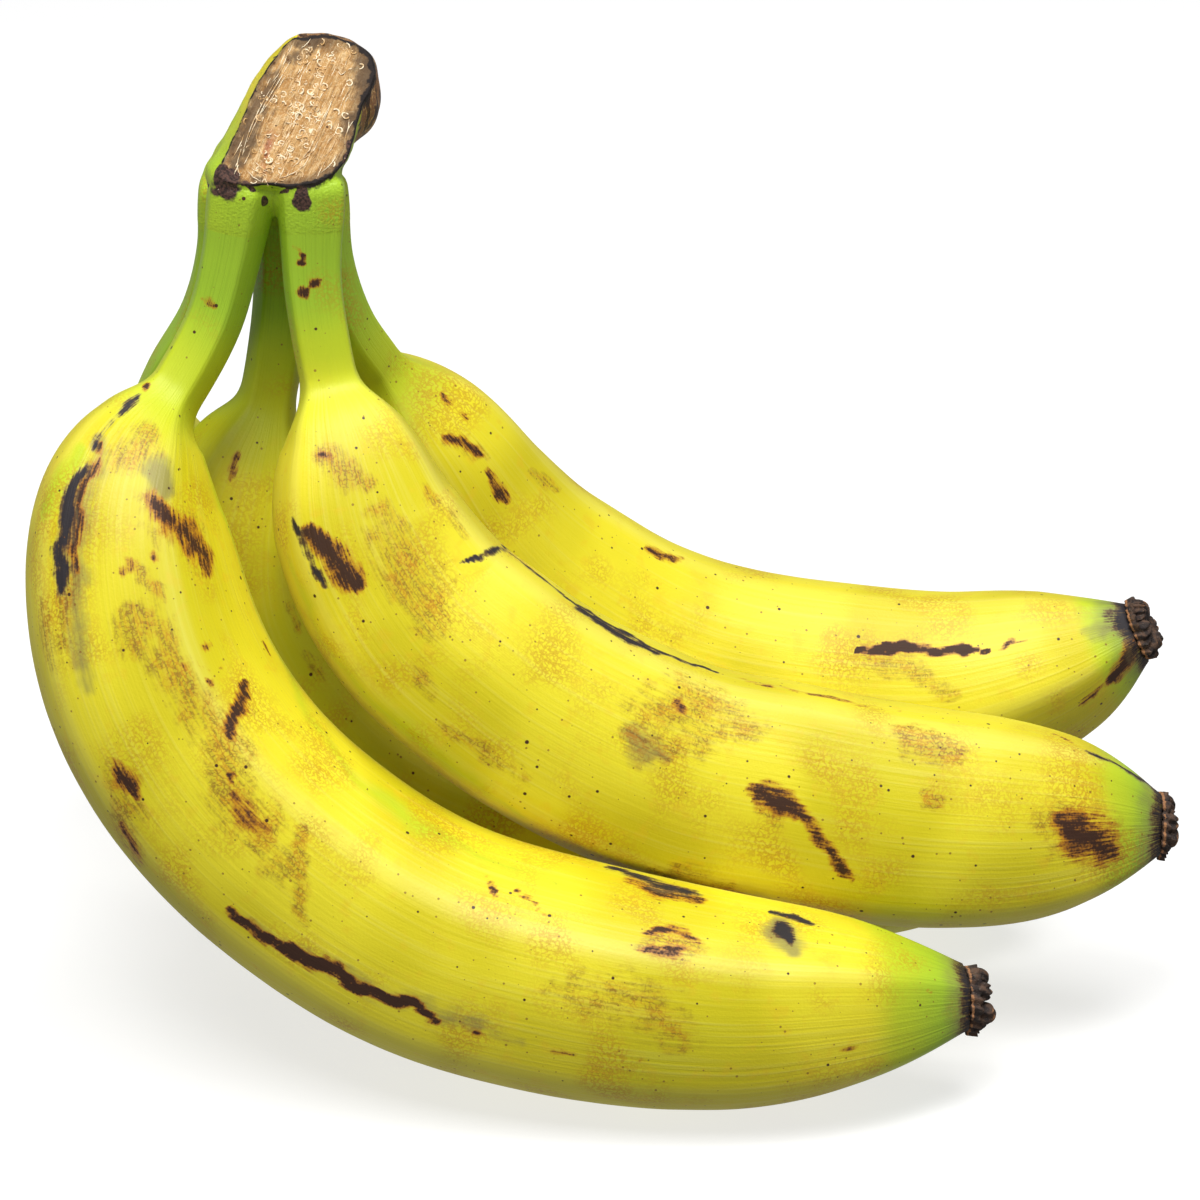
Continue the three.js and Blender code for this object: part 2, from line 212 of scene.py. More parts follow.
        "ridges": (38, 111, 185, 258, 328),
        "greenTip": 6, "greenTintAndPaintedShade": 0.04, "seed": 23,
        "marks": {
            "spotA": ("scuff", 1.0, 1, [(441, 394), (452, 404), (463, 416)]),
            "spotB": ("scuff", 1.8, 1, [(445, 434), (465, 444), (484, 456)]),
            "spotBGlow": ("stain", 3, 0.8, [(445, 434), (470, 446), (486, 458)]),
            "spotC": ("scuff", 1.7, 1, [(487, 474), (497, 488), (510, 502)]),
            "wisp": ("stain", 2, 0.85, [(531, 472), (545, 480), (560, 490)]),
            "brownSpot": ("scuff", 1.6, 0.85, [(650, 548), (665, 554), (680, 560)]),
            "topEdge": ("bruise", 0.9, 0.9, [(655, 529), (671, 533)]),
            "ridgeBruise": ("scuff", 1.15, 3, [(857, 648), (900, 651), (950, 651), (988, 647)]),
            "ridgeGlow": ("stain", 3.4, 0.9, [(868, 658), (900, 668), (930, 684), (955, 690)]),
            "ridgeDots": ("scuff", 0.7, 0.9, [(1000, 647), (1032, 640)]),
            "tipShade": ("smudgeAndPaintedShade", 2.6, 1, [(1086, 634), (1110, 626), (1130, 622)]),
            "tipBruise": ("bruise", 4.2, 1, [(1120, 604), (1132, 620), (1142, 636)]),
            "tipBruiseTop": ("bruise", 2.4, 1.1, [(1130, 597), (1144, 602)]),
            "tipBruiseLow": ("scuff", 3, 1.3, [(1136, 640), (1128, 660), (1112, 680)]),
            "lowRidgeDots": ("scuff", 1.1, 0.95, [(1080, 704), (1090, 696), (1104, 686)]),
        },
    },
    "banana_middle_outer": {
        "path": [
            (-54, 10, 132), (-54.3, 10.5, 113), (-55.4, 8.5, 103), (-57.2, 7, 94), (-60, 5.5, 86),
            (-63, 4, 74.5), (-63, 3.5, 60.5), (-56.5, 3.5, 45), (-46, 3, 31.5), (-29.5, 2, 21),
            (-9.5, 0.5, 16.5), (12.5, -1, 16.5), (34.5, -1.5, 16.5), (53, -1.5, 16.5), (68.5, -1.5, 18),
        ],
        "stalk": 40, "taper": 16, "girth": 0.88, "flower": 3.6,
        "ridges": (60, 132, 204, 276, 348),
        # this finger's greener olive tone also paints the shade it lies in, between the front fingers
        "greenTip": 10, "greenTintAndPaintedShade": 0.25, "seed": 37,
        "marks": {
            "neckSpot": ("scuff", 1.3, 0.95, [(236, 450), (232, 464), (228, 480)]),
            "stripSpotA": ("stain", 1.4, 0.9, [(284, 604), (292, 618), (300, 636)]),
            "stripSpotB": ("stain", 1.4, 0.9, [(304, 652), (314, 668), (322, 680)]),
        },
    },
    "banana_back_outer": {
        "path": [
            (-61.5, 1.5, 133), (-63, 3.5, 122), (-66.5, 6.5, 109.5), (-73, 11, 97), (-77.5, 20, 83.5),
            (-78.5, 31, 66.5), (-75.5, 39.5, 49.5), (-67.5, 46, 34), (-54, 50, 23), (-36, 52, 17.5),
            (-14, 54, 17), (8, 55.5, 17), (31, 58, 17), (48, 59, 19), (58, 59.5, 22),
        ],
        "stalk": 54, "taper": 18, "girth": 0.96, "flower": 4,
        "ridges": (30, 102, 174, 246, 318),
        # this finger's greener olive tone also paints the shade it lies in, behind the front finger
        "greenTip": 10, "greenTintAndPaintedShade": 0.16, "seed": 41,
        "marks": {},
    },
}

# How far a mark's outline strays, in millimetres: the size of the swings, and their reach
unevenness = ((5.0, 1.1), (1.8, 0.5))
unevennessSeed = 4
markStep = 12  # pixels from one point of a mark's line to the next
farPixels = 500  # what a point that faces away counts as farther off

markKinds = ("bruise", "scuff", "stain", "smudgeAndPaintedShade", "green")

# Marks on the sides that the picture doesn't show: how many of each kind, and from what to what their
# half widths and lengths go, in millimetres, and their strengths
hiddenMarks = {
    "bruise": {"count": 3, "wide": (0.9, 1.8), "long": (14, 38), "strength": (0.85, 1)},
    "scuff": {"count": 7, "wide": (0.8, 2.4), "long": (3, 12), "strength": (0.8, 1)},
    "stain": {"count": 9, "wide": (1.8, 5), "long": (5, 20), "strength": (0.6, 0.9)},
    "smudgeAndPaintedShade": {"count": 3, "wide": (2, 4), "long": (6, 22), "strength": (0.6, 0.9)},
}

# Millimetres that they keep from the stalk and from the tip, how far they lean, and the radius of the
# round that they lie on
hiddenPlaces = {"afterStalk": 8, "beforeTip": 12, "lean": 0.25, "radius": 18}

# How much of a direction towards the camera a side must have to be seen, and less than what to be hidden
seenFrom, hiddenFrom = 0.05, -0.15

socketKinds = {float: "NodeSocketFloat", int: "NodeSocketInt"}


# Adds a node with its settings and links, and gives back one of its outputs
def addNode(tree, kind, links=None, out=0, **settings):
    node = tree.nodes.new(kind)
    for name, value in settings.items():
        setattr(node, name, value)
    for key, value in (links or {}).items():
        if isinstance(value, bpy.types.NodeSocket):
            tree.links.new(value, node.inputs[key])
        else:
            node.inputs[key].default_value = value
    return node.outputs[out] if len(node.outputs) else node


# A geometry tree with named inputs, and the sockets that bring them in
def newTree(name, inputs):
    tree = bpy.data.node_groups.new(name, "GeometryNodeTree")
    tree.interface.new_socket("Geometry", in_out="INPUT", socket_type="NodeSocketGeometry")
    for label, value in inputs.items():
        made = tree.interface.new_socket(label, in_out="INPUT", socket_type=socketKinds[type(value)])
        made.default_value = value
    tree.interface.new_socket("Geometry", in_out="OUTPUT", socket_type="NodeSocketGeometry")
    return tree, tree.nodes.new("NodeGroupInput").outputs


# Ends a geometry tree in one smooth mesh of one material
def endTree(tree, made, material):
    made = addNode(tree, "GeometryNodeRealizeInstances", {"Geometry": made})
    made = addNode(tree, "GeometryNodeSetShadeSmooth", {"Geometry": made})
    made = addNode(tree, "GeometryNodeSetMaterial", {"Geometry": made, "Material": material})
    addNode(tree, "NodeGroupOutput", {"Geometry": made})
    return tree


# Runs a tree on a piece with its inputs set, and leaves the result as the piece's plain mesh
def grow(piece, tree, inputs):
    modifier = piece.modifiers.new(tree.name, "NODES")
    modifier.node_group = tree
    for item in tree.interface.items_tree:
        if item.in_out == "INPUT" and item.name in inputs:
            modifier[item.identifier] = inputs[item.name]
    made = bpy.data.meshes.new_from_object(piece.evaluated_get(bpy.context.evaluated_depsgraph_get()))
    piece.modifiers.remove(modifier)
    piece.data = made
    made.name = piece.name
    return piece


def newPiece(name, points, faces=()):
    mesh = bpy.data.meshes.new(name)
    mesh.from_pydata([tuple(p) for p in points], [], faces)
    piece = bpy.data.objects.new(name, mesh)
    bpy.context.scene.collection.objects.link(piece)
    return piece


def setAttribute(piece, name, values, kind="FLOAT"):
    made = piece.data.attributes.new(name, kind, "POINT")
    field = "value" if kind == "FLOAT" else "vector"
    made.data.foreach_set(field, np.asarray(values, np.float32).ravel())


def getAttribute(piece, name, width=1):
    found = np.zeros(len(piece.data.vertices) * width, np.float32)
    field = "value" if width == 1 else "vector"
    piece.data.attributes[name].data.foreach_get(field, found)
    return found.reshape(-1, width) if width > 1 else found


# A vector of each vertex, such as "co" or "normal"
def vectorsOf(piece, field="co"):
    found = np.zeros(len(piece.data.vertices) * 3, np.float32)
    piece.data.vertices.foreach_get(field, found)
    return found.reshape(-1, 3).astype(float)


def smoothstep(low, high, values):
    share = np.clip((values - low) / (high - low), 0, 1)
    return share * share * (3 - 2 * share)


# Directions towards the camera and up its picture
def viewDirections():
    tilt = math.radians(pictureView["elevation"])
    return np.array((0, -math.cos(tilt), math.sin(tilt))), np.array((0, math.sin(tilt), math.cos(tilt)))


# Where points in metres fall in the picture
def pictureOf(points):
    back, up = viewDirections()
    away = points / mm - np.array(pictureView["lookAt"], float)
    zoom = pictureView["pixelsPerMm"] * pictureView["distance"] / (pictureView["distance"] - away @ back)
    middle = pictureView["lookAtPixel"]
    return np.stack((middle[0] + away[:, 0] * zoom, middle[1] - away @ up * zoom), axis=1)


# A rounded line through points, as centripetal Catmull-Rom pieces
def smoothLine(points, steps=24):
    points = np.array(points, float)
    lead = 2 * points[0] - points[1]
    tail = 2 * points[-1] - points[-2]
    posts = np.vstack((lead, points, tail))
    share = np.linspace(0, 1, steps, endpoint=False)[:, None]
    pieces = []
    for first in range(len(points) - 1):
        a, b, c, d = posts[first:first + 4]
        before, across, after = (np.linalg.norm(v) ** 0.5 for v in (b - a, c - b, d - c))
        leaving = ((b - a) / before - (c - a) / (before + across) + (c - b) / across) * across
        reaching = ((c - b) / across - (d - b) / (across + after) + (d - c) / after) * across
        bend = 2 * b - 2 * c + leaving + reaching
        swing = 3 * (c - b) - 2 * leaving - reaching
        pieces.append(b + share * leaving + share**2 * swing + share**3 * bend)
    pieces.append(points[-1:])
    return np.vstack(pieces)


# Stations along a banana's centre line: distance, place, and its outward and front directions
def centreLine(banana, rings):
    line = smoothLine(banana["path"])
    steps = np.linalg.norm(np.diff(line, axis=0), axis=1)
    travelled = np.concatenate(([0], np.cumsum(steps)))
    length = travelled[-1]
    distance = np.linspace(0, length, rings - 2)
    distance = np.concatenate(([0], distance, [length]))

    def at(where):
        return np.stack([np.interp(where, travelled, line[:, k]) for k in range(3)], axis=-1)

    place = at(distance)
    nudge = length / rings
    along = at(distance + nudge) - at(distance - nudge)
    along /= np.linalg.norm(along, axis=1)[:, None]
    half = at(length / 2)
    normal = np.cross(half - line[0], line[-1] - line[0])
    outward = np.cross(along, normal)
    outward /= np.linalg.norm(outward, axis=1)[:, None]
    front = np.cross(outward, along)
    return distance, place, outward, front, length


# Directions round a banana, and how far out its flat sides and ridges lie in each
def sectionOf(ridges, sides):
    angle = np.arange(sides) * 360 / sides
    flat = np.zeros(sides)
    for index, ridge in enumerate(ridges):
        following = ridges[index + 1] if index + 1 < len(ridges) else ridges[0] + 360
        half = math.radians(following - ridge) / 2
        into = (angle - ridge) % 360
        inside = into < following - ridge
        turned = np.radians(into[inside]) - half
        flat[inside] = math.cos(half) / np.cos(turned)
    reach = int(ridgeRounding / 360 * sides * 3) + 1
    weights = np.exp(-((np.arange(-reach, reach + 1) * 360 / sides / ridgeRounding) ** 2) / 2)
    weights /= weights.sum()
    soft = sum(w * np.roll(flat, shift) for w, shift in zip(weights, range(-reach, reach + 1)))
    return np.radians(angle), soft - soft.mean()


# 1 - exp(-(distance / length) ^ power), and what is left of it
def swelling(tree, distance, length, power):
    share = addNode(tree, "ShaderNodeMath", {0: distance, 1: length}, operation="DIVIDE")
    raised = addNode(tree, "ShaderNodeMath", {0: share, 1: power}, operation="POWER")
    turned = addNode(tree, "ShaderNodeMath", {0: raised, 1: -1.0}, operation="MULTIPLY")
    left = addNode(tree, "ShaderNodeMath", {0: turned}, operation="EXPONENT")
    return addNode(tree, "ShaderNodeMath", {0: 1.0, 1: left}, operation="SUBTRACT"), left


# Grows a banana's skin as rings round its centre line: stalk, shoulder, body and taper.
# The piece that it runs on holds the stations first and then the directions round.
def bananaTree(skin):
    sizes = {"Girth": 1.0, "Stalk Length": 40.0, "Taper Length": 16.0, "Length": 190.0, "Seed": 0.0}
    tree, given = newTree("growBanana", {**bananaShape, **sizes})
    far = addNode(tree, "GeometryNodeInputNamedAttribute", {"Name": "distance"}, data_type="FLOAT")
    past = addNode(tree, "ShaderNodeMath", {0: far, 1: given["Stalk Length"]}, operation="SUBTRACT")
    past = addNode(tree, "ShaderNodeMath", {0: past, 1: 0.0, 2: given["Neck Softness"]},
                   operation="SMOOTH_MAX")
    ahead = addNode(tree, "ShaderNodeMath", {0: given["Length"], 1: far}, operation="SUBTRACT")
    ahead = addNode(tree, "ShaderNodeMath", {0: ahead, 1: 0.0}, operation="MAXIMUM")
    flare = swelling(tree, far, given["Flare Length"], 2.0)[1]
    shoulder = swelling(tree, past, given["Shoulder Length"], given["Shoulder Power"])[0]
    taper = swelling(tree, ahead, given["Taper Length"], given["Taper Power"])[0]
    onStalk = swelling(tree, past, given["Shoulder Length"], 1.0)[1]
    onBlossom = swelling(tree, ahead, given["Taper Length"], 1.0)[1]

    stalk = addNode(tree, "ShaderNodeMath", {0: flare, 1: given["Stalk Flare"], 2: given["Stalk Radius"]},
                    operation="MULTIPLY_ADD")
    widest = addNode(tree, "ShaderNodeMath", {0: given["Body Radius"], 1: given["Girth"]},
                     operation="MULTIPLY")
    added = addNode(tree, "ShaderNodeMath", {0: widest, 1: given["Stalk Radius"]}, operation="SUBTRACT")
    full = addNode(tree, "ShaderNodeMath", {0: added, 1: shoulder, 2: stalk}, operation="MULTIPLY_ADD")
    radius = addNode(tree, "ShaderNodeMix", {0: taper, 2: given["Blossom Radius"], 3: full})
    ridge = addNode(tree, "ShaderNodeMix", {0: onStalk, 2: given["Body Ridge"], 3: given["Stalk Ridge"]})
    ridge = addNode(tree, "ShaderNodeMix", {0: onBlossom, 2: ridge, 3: given["Blossom Ridge"]})
    even = addNode(tree, "ShaderNodeMath", {0: 1.0, 1: onStalk}, operation="SUBTRACT")
    opened = addNode(tree, "GeometryNodeInputNamedAttribute", {"Name": "open"}, data_type="FLOAT")
    even = addNode(tree, "ShaderNodeMath", {0: even, 1: opened}, operation="MULTIPLY")
    line = given["Geometry"]
    for name, value in (("radius", radius), ("ridge", ridge), ("even", even)):
        line = addNode(tree, "GeometryNodeStoreNamedAttribute",
                       {"Geometry": line, "Name": name, "Value": value}, data_type="FLOAT", domain="POINT")

    columns = addNode(tree, "FunctionNodeIntegerMath", {0: given["Sides"], 1: 1}, operation="ADD")
    grid = addNode(tree, "GeometryNodeMeshGrid", {"Vertices X": columns, "Vertices Y": given["Rings"]})
    index = addNode(tree, "GeometryNodeInputIndex")
    row = addNode(tree, "FunctionNodeIntegerMath", {0: index, 1: given["Rings"]}, operation="MODULO")
    direction = index
    for operation, other in (("DIVIDE_FLOOR", "Rings"), ("MODULO", "Sides"), ("ADD", "Rings")):
        direction = addNode(tree, "FunctionNodeIntegerMath", {0: direction, 1: given[other]},
                            operation=operation)

    fetched = {}
    for kind, where, names in (("FLOAT", row, ("radius", "ridge", "open", "even", "distance")),
                               ("FLOAT_VECTOR", row, ("outward", "front")),
                               ("FLOAT", direction, ("angle", "flat"))):
        for name in names:
            value = addNode(tree, "GeometryNodeInputNamedAttribute", {"Name": name}, data_type=kind)
            fetched[name] = addNode(tree, "GeometryNodeSampleIndex",
                                    {"Geometry": line, "Value": value, "Index": where},
                                    data_type=kind, domain="POINT")
    centre = addNode(tree, "GeometryNodeSampleIndex",
                     {"Geometry": line, "Value": addNode(tree, "GeometryNodeInputPosition"), "Index": row},
                     data_type="FLOAT_VECTOR", domain="POINT")

    factor = addNode(tree, "ShaderNodeMath", {0: fetched["ridge"], 1: fetched["flat"], 2: 1.0},
                     operation="MULTIPLY_ADD")
    reach = addNode(tree, "ShaderNodeMath", {0: fetched["radius"], 1: factor}, operation="MULTIPLY")
    reach = addNode(tree, "ShaderNodeMath", {0: reach, 1: fetched["open"]}, operation="MULTIPLY")
    cosine = addNode(tree, "ShaderNodeMath", {0: fetched["angle"]}, operation="COSINE")
    sine = addNode(tree, "ShaderNodeMath", {0: fetched["angle"]}, operation="SINE")
    outward, front = [addNode(tree, "ShaderNodeVectorMath", {0: fetched[name], "Scale": amount},
                              operation="SCALE") for name, amount in (("outward", cosine), ("front", sine))]
    away = addNode(tree, "ShaderNodeVectorMath", {0: outward, 1: front}, operation="ADD")
    away = addNode(tree, "ShaderNodeVectorMath", {0: away, "Scale": reach}, operation="SCALE")
    place = addNode(tree, "ShaderNodeVectorMath", {0: centre, 1: away}, operation="ADD")

    # small unevenness of the flesh under the skin
    scale = addNode(tree, "ShaderNodeMath", {0: 1.0, 1: given["Wobble Size"]}, operation="DIVIDE")
    rough = addNode(tree, "ShaderNodeTexNoise",
                    {"Vector": place, "W": given["Seed"], "Scale": scale, "Detail": 2.0},
                    noise_dimensions="4D")
    for operation, other in (("SUBTRACT", 0.5), ("MULTIPLY", given["Wobble"]), ("MULTIPLY", 2.0),
                             ("MULTIPLY", fetched["even"])):
        rough = addNode(tree, "ShaderNodeMath", {0: rough, 1: other}, operation=operation)
    push = addNode(tree, "ShaderNodeVectorMath", {0: away}, operation="NORMALIZE")
    push = addNode(tree, "ShaderNodeVectorMath", {0: push, "Scale": rough}, operation="SCALE")
    place = addNode(tree, "ShaderNodeVectorMath", {0: place, 1: push}, operation="ADD")

    # the belly is pressed flat where it carries the bunch
    parts = tree.nodes.new("ShaderNodeSeparateXYZ")
    tree.links.new(place, parts.inputs[0])
    height = addNode(tree, "ShaderNodeMath", {0: parts.outputs[2], 1: 0.0}, operation="MAXIMUM")
    place = addNode(tree, "ShaderNodeCombineXYZ", {0: parts.outputs[0], 1: parts.outputs[1], 2: height})
    place = addNode(tree, "ShaderNodeVectorMath", {0: place, "Scale": mm}, operation="SCALE")

    skinPlace = addNode(tree, "ShaderNodeCombineXYZ", {0: fetched["distance"], 1: cosine, 2: sine})
    body = grid
    for name, kind, value in (("skinPlace", "FLOAT_VECTOR", skinPlace),
                              ("ridgeLine", "FLOAT", fetched["flat"])):
        body = addNode(tree, "GeometryNodeStoreNamedAttribute",
                       {"Geometry": body, "Name": name, "Value": value}, data_type=kind, domain="POINT")
    body = addNode(tree, "GeometryNodeSetPosition", {"Geometry": body, "Position": place})
    body = addNode(tree, "GeometryNodeMergeByDistance", {"Geometry": body, "Distance": 0.01 * mm})
    body = addNode(tree, "GeometryNodeFlipFaces", {"Mesh": body})
    return endTree(tree, body, skin)


# The stations and the directions round as one set of points, for the tree to read
def bananaSeed(name, banana):
    rings, sides = bananaShape["Rings"], bananaShape["Sides"]
    distance, place, outward, front, length = centreLine(banana, rings)
    angle, flat = sectionOf(banana["ridges"], sides)
    piece = newPiece(name + "_skin", np.vstack((place, np.zeros((sides, 3)))))
    opened = np.ones(rings)
    opened[[0, -1]] = 0
    blank = np.zeros((sides, 3))
    setAttribute(piece, "distance", np.concatenate((distance, np.zeros(sides))))
    setAttribute(piece, "open", np.concatenate((opened, np.zeros(sides))))
    setAttribute(piece, "outward", np.vstack((outward, blank)), "FLOAT_VECTOR")
    setAttribute(piece, "front", np.vstack((front, blank)), "FLOAT_VECTOR")
    setAttribute(piece, "angle", np.concatenate((np.zeros(rings), angle)))
    setAttribute(piece, "flat", np.concatenate((np.zeros(rings), flat)))
    return piece, length


# How near each point lies to a line through others, as 1 on the line and 0 at its half width,
# which narrows towards both ends
def nearness(points, line, wide):
    steps = np.linalg.norm(np.diff(line, axis=0), axis=1)
    travelled = np.concatenate(([0], np.cumsum(steps))) / max(steps.sum(), 1e-9)
    best = np.zeros(len(points))
    near = np.flatnonzero(np.linalg.norm(points - line.mean(0), axis=1) < steps.sum() + 3 * wide)
    close = points[near]
    for index, (start, end) in enumerate(zip(line[:-1], line[1:])):
        run = end - start
        part = np.clip((close - start) @ run / max(run @ run, 1e-12), 0, 1)
        gap = np.linalg.norm(close - start - part[:, None] * run, axis=1)
        along = travelled[index] + part * (travelled[index + 1] - travelled[index])
        width = wide * (0.5 + 0.5 * np.clip(np.sin(math.pi * along), 0, 1)**0.7)
        best[near] = np.maximum(best[near], 1 - gap / width)
    return best


# Points moved about by a noise, so that what is drawn on them has an uneven outline
def unsettled(points):
    noise.seed_set(unevennessSeed)
    moved = np.array(points)
    for size, reach in unevenness:
        for index, point in enumerate(points / mm / size):
            moved[index] += np.array(noise.noise_vector(Vector(point))) * reach * mm
    return moved


# The points of a piece's surface that show at some pixels of the picture
def surfaceAt(points, seen, facing, pixels):
    fine = [np.array(pixels[0], float)]
    for start, end in zip(pixels[:-1], pixels[1:]):
        start, end = np.array(start, float), np.array(end, float)
        steps = max(1, int(np.linalg.norm(end - start) / markStep))
        fine += [start + (end - start) * (step + 1) / steps for step in range(steps)]
    hidden = np.where(facing, 0, farPixels)
    return np.array([points[(np.linalg.norm(seen - pixel, axis=1) + hidden).argmin()] for pixel in fine])


# Writes a piece's marks into one attribute for each kind, on top of what is ready there
def paint(piece, marks, kinds, hidden, ready):
    points = vectorsOf(piece)
    seen = pictureOf(points)
    facing = vectorsOf(piece, "normal") @ viewDirections()[0] > seenFrom
    made = {**{kind: np.zeros(len(points)) for kind in kinds}, **ready}
    moved = unsettled(points)
    lines = [(kind, wide, strength, surfaceAt(points, seen, facing, pixels))
             for kind, wide, strength, pixels in marks.values()]
    for kind, wide, strength, line in lines + list(hidden):
        made[kind] = np.maximum(made[kind], strength * nearness(moved, line, wide * mm))
    for kind, values in made.items():
        setAttribute(piece, kind, values)


# Marks where the camera doesn't look, lengthwise and drawn from the banana's seed
def marksBehind(piece, banana, length):
    draw = np.random.default_rng(banana["seed"])
    points = vectorsOf(piece)
    place = getAttribute(piece, "skinPlace", 3)
    away = vectorsOf(piece, "normal") @ viewDirections()[0] < hiddenFrom
    along = place[:, 0]
    where = hiddenPlaces
    onBody = (along > banana["stalk"] + where["afterStalk"]) & (along < length - where["beforeTip"])
    choices = np.flatnonzero(away & onBody)
    made = []
    for kind, spread in hiddenMarks.items():
        for _ in range(spread["count"]):
            start = draw.choice(choices)
            wide, long = draw.uniform(*spread["wide"]), draw.uniform(*spread["long"])
            strength, lean = draw.uniform(*spread["strength"]), draw.uniform(-where["lean"], where["lean"])
            turn = math.atan2(place[start, 2], place[start, 1])
            line = []
            for step in range(6):
                reach = (step / 5 - 0.5) * long
                angle = turn + reach / where["radius"] * lean
                gap = abs(along - along[start] - reach) / 10
                gap += abs(place[:, 1] - math.cos(angle)) + abs(place[:, 2] - math.sin(angle))
                line.append(points[gap.argmin()])
            made.append((kind, wide, strength, np.array(line)))
    return made


# sRGB hex to the linear colour that a shader takes
def colour(hexCode):
    parts = [int(hexCode[i:i + 2], 16) / 255 for i in (1, 3, 5)]
    return [p / 12.92 if p <= 0.04045 else ((p + 0.055) / 1.055) ** 2.4 for p in parts] + [1]


def newMaterial(name):
    material = bpy.data.materials.new(name)
    material.use_nodes = True
    material.node_tree.nodes.clear()
    return material, material.node_tree


# Waxy fruit skin: smooth and soft in its gloss, and dull where it is bruised. Noises come with their
# feature size in millimetres and their detail, and the lengthwise ones with their length in
# millimetres, how many lie round a banana, and their detail.
skinLook = {
    "yellow": "#F0E22C",
    "deepYellow": "#DCCE1A",
    # pale grain streaks, and the painted highlight along the ridges
    "paleYellowAndPaintedHighlight": "#F1EA7C",
    "warmYellow": "#EDC526",
    "yellowGreen": "#C6D62A",
    "lime": "#A8CE34",
    "deepGreen": "#7DA31A",
    "stain": "#C4801A",
    "stainDark": "#8C5A22",
    "scuffEdge": "#875120",
    "scuff": "#382016",
    "bruiseEdge": "#5E3C24",
    "bruise": "#25232A",
    # grey-brown of smudges, also used as painted shadow round bruises and beside ridges
    "smudgeAndPaintedShade": "#857B50",
    "dot": "#4A2C1A",
    "noises": {"cloud": (24, 1.0), "fluff": (3.2, 2.5), "wormy": (0.75, 1.5), "grit": (0.4, 1.0),
               "patch": (11, 1.5)},
    "lengthwise": {"hair": (3.5, 230, 1.5), "grain": (34, 150, 2.0)},
    "dotSpacing": 3.2,
    "smallDotSpacing": 1.6,
    "roughness": 0.45,
    "wornRoughness": 0.66,
}

# How the marks lie on the skin, from the faintest to the darkest: the kind, the noises that make it
# ragged and by how much, where it begins and is full, its strength there, and its colour
markLayers = [
    # real smudges, and painted shade where a smudge mark stands for shadow, as beside a ridge or under a
    # patch
    ("smudgeAndPaintedShade", {"fluff": 0.7, "hair": 0.5}, 0.0, 1.0, 0.75, "smudgeAndPaintedShade"),
    ("stain", {"fluff": 1.7, "hair": 0.9}, 0.0, 1.0, 0.85, "stain"),
    ("scuff", {"fluff": 1.1, "hair": 1.0}, 0.0, 0.5, 0.75, "stain"),
    ("scuff", {"fluff": 1.1, "hair": 1.3, "grit": 0.6}, 0.3, 0.62, 0.85, "scuffEdge"),
    ("scuff", {"fluff": 0.9, "hair": 1.5, "grit": 0.8}, 0.5, 0.85, 0.95, "scuff"),
    # painted shadow: a grey-brown halo round each bruise
    ("bruise", {"fluff": 0.8, "hair": 0.8}, 0.0, 0.5, 0.6, "smudgeAndPaintedShade"),
    ("bruise", {"fluff": 0.7, "hair": 1.0, "grit": 0.5}, 0.2, 0.5, 0.85, "bruiseEdge"),
    ("bruise", {"fluff": 0.5, "hair": 0.9, "grit": 0.3}, 0.4, 0.65, 0.95, "bruise"),
]


# Noises on a piece, each at its feature size in millimetres and with its detail
def noisesOn(tree, sizes):
    place = addNode(tree, "ShaderNodeTexCoord", out="Object")
    return place, {name: addNode(tree, "ShaderNodeTexNoise",
                                 {"Vector": place, "Scale": 1 / (size * mm), "Detail": detail})
                   for name, (size, detail) in sizes.items()}


def fieldsOf(tree, names):
    return {name: addNode(tree, "ShaderNodeAttribute", out="Fac", attribute_name=name) for name in names}


# Lays colours over a base, one after another. Each has its pattern and its colour, and where it comes
# in softly also from which value to which, how strong it gets, and at times a mask.
def layered(tree, look, base, layers):
    def toned(tone):
        return colour(look[tone]) if isinstance(tone, str) else tone

    for amount, tone, *band in layers:
        if band:
            low, high, strength = band[:3]
            amount = addNode(tree, "ShaderNodeMapRange", {0: amount, 1: low, 2: high, 4: strength},
                             interpolation_type="SMOOTHSTEP")
        for mask in band[3:]:
            amount = addNode(tree, "ShaderNodeMath", {0: amount, 1: mask}, operation="MULTIPLY")
        base = addNode(tree, "ShaderNodeMix", {0: amount, 6: toned(base), 7: toned(tone)}, out=2,
                       data_type="RGBA")
    return base


# A mark's field, ragged by noises that each come with an amount, and nothing away from the mark
def ragged(tree, value, roughs, low, high, strength=1.0):
    shifted = value
    for rough, amount in roughs:
        moved = addNode(tree, "ShaderNodeMath", {0: rough, 1: 0.5}, operation="SUBTRACT")
        shifted = addNode(tree, "ShaderNodeMath", {0: moved, 1: amount, 2: shifted}, operation="MULTIPLY_ADD")
    inside, there = [addNode(tree, "ShaderNodeMapRange", {0: field, 1: start, 2: end, 4: full},
                             interpolation_type="SMOOTHSTEP")
                     for field, start, end, full in ((shifted, low, high, 1.0), (value, 0.0, 0.2, strength))]
    return addNode(tree, "ShaderNodeMath", {0: inside, 1: there}, operation="MULTIPLY")


# Thin curved lines, where a noise crosses its middle
def worms(tree, pattern, width):
    away = addNode(tree, "ShaderNodeMath", {0: pattern, 1: 0.5}, operation="SUBTRACT")
    away = addNode(tree, "ShaderNodeMath", {0: away}, operation="ABSOLUTE")
    return addNode(tree, "ShaderNodeMapRange", {0: away, 1: width, 2: 0.0})


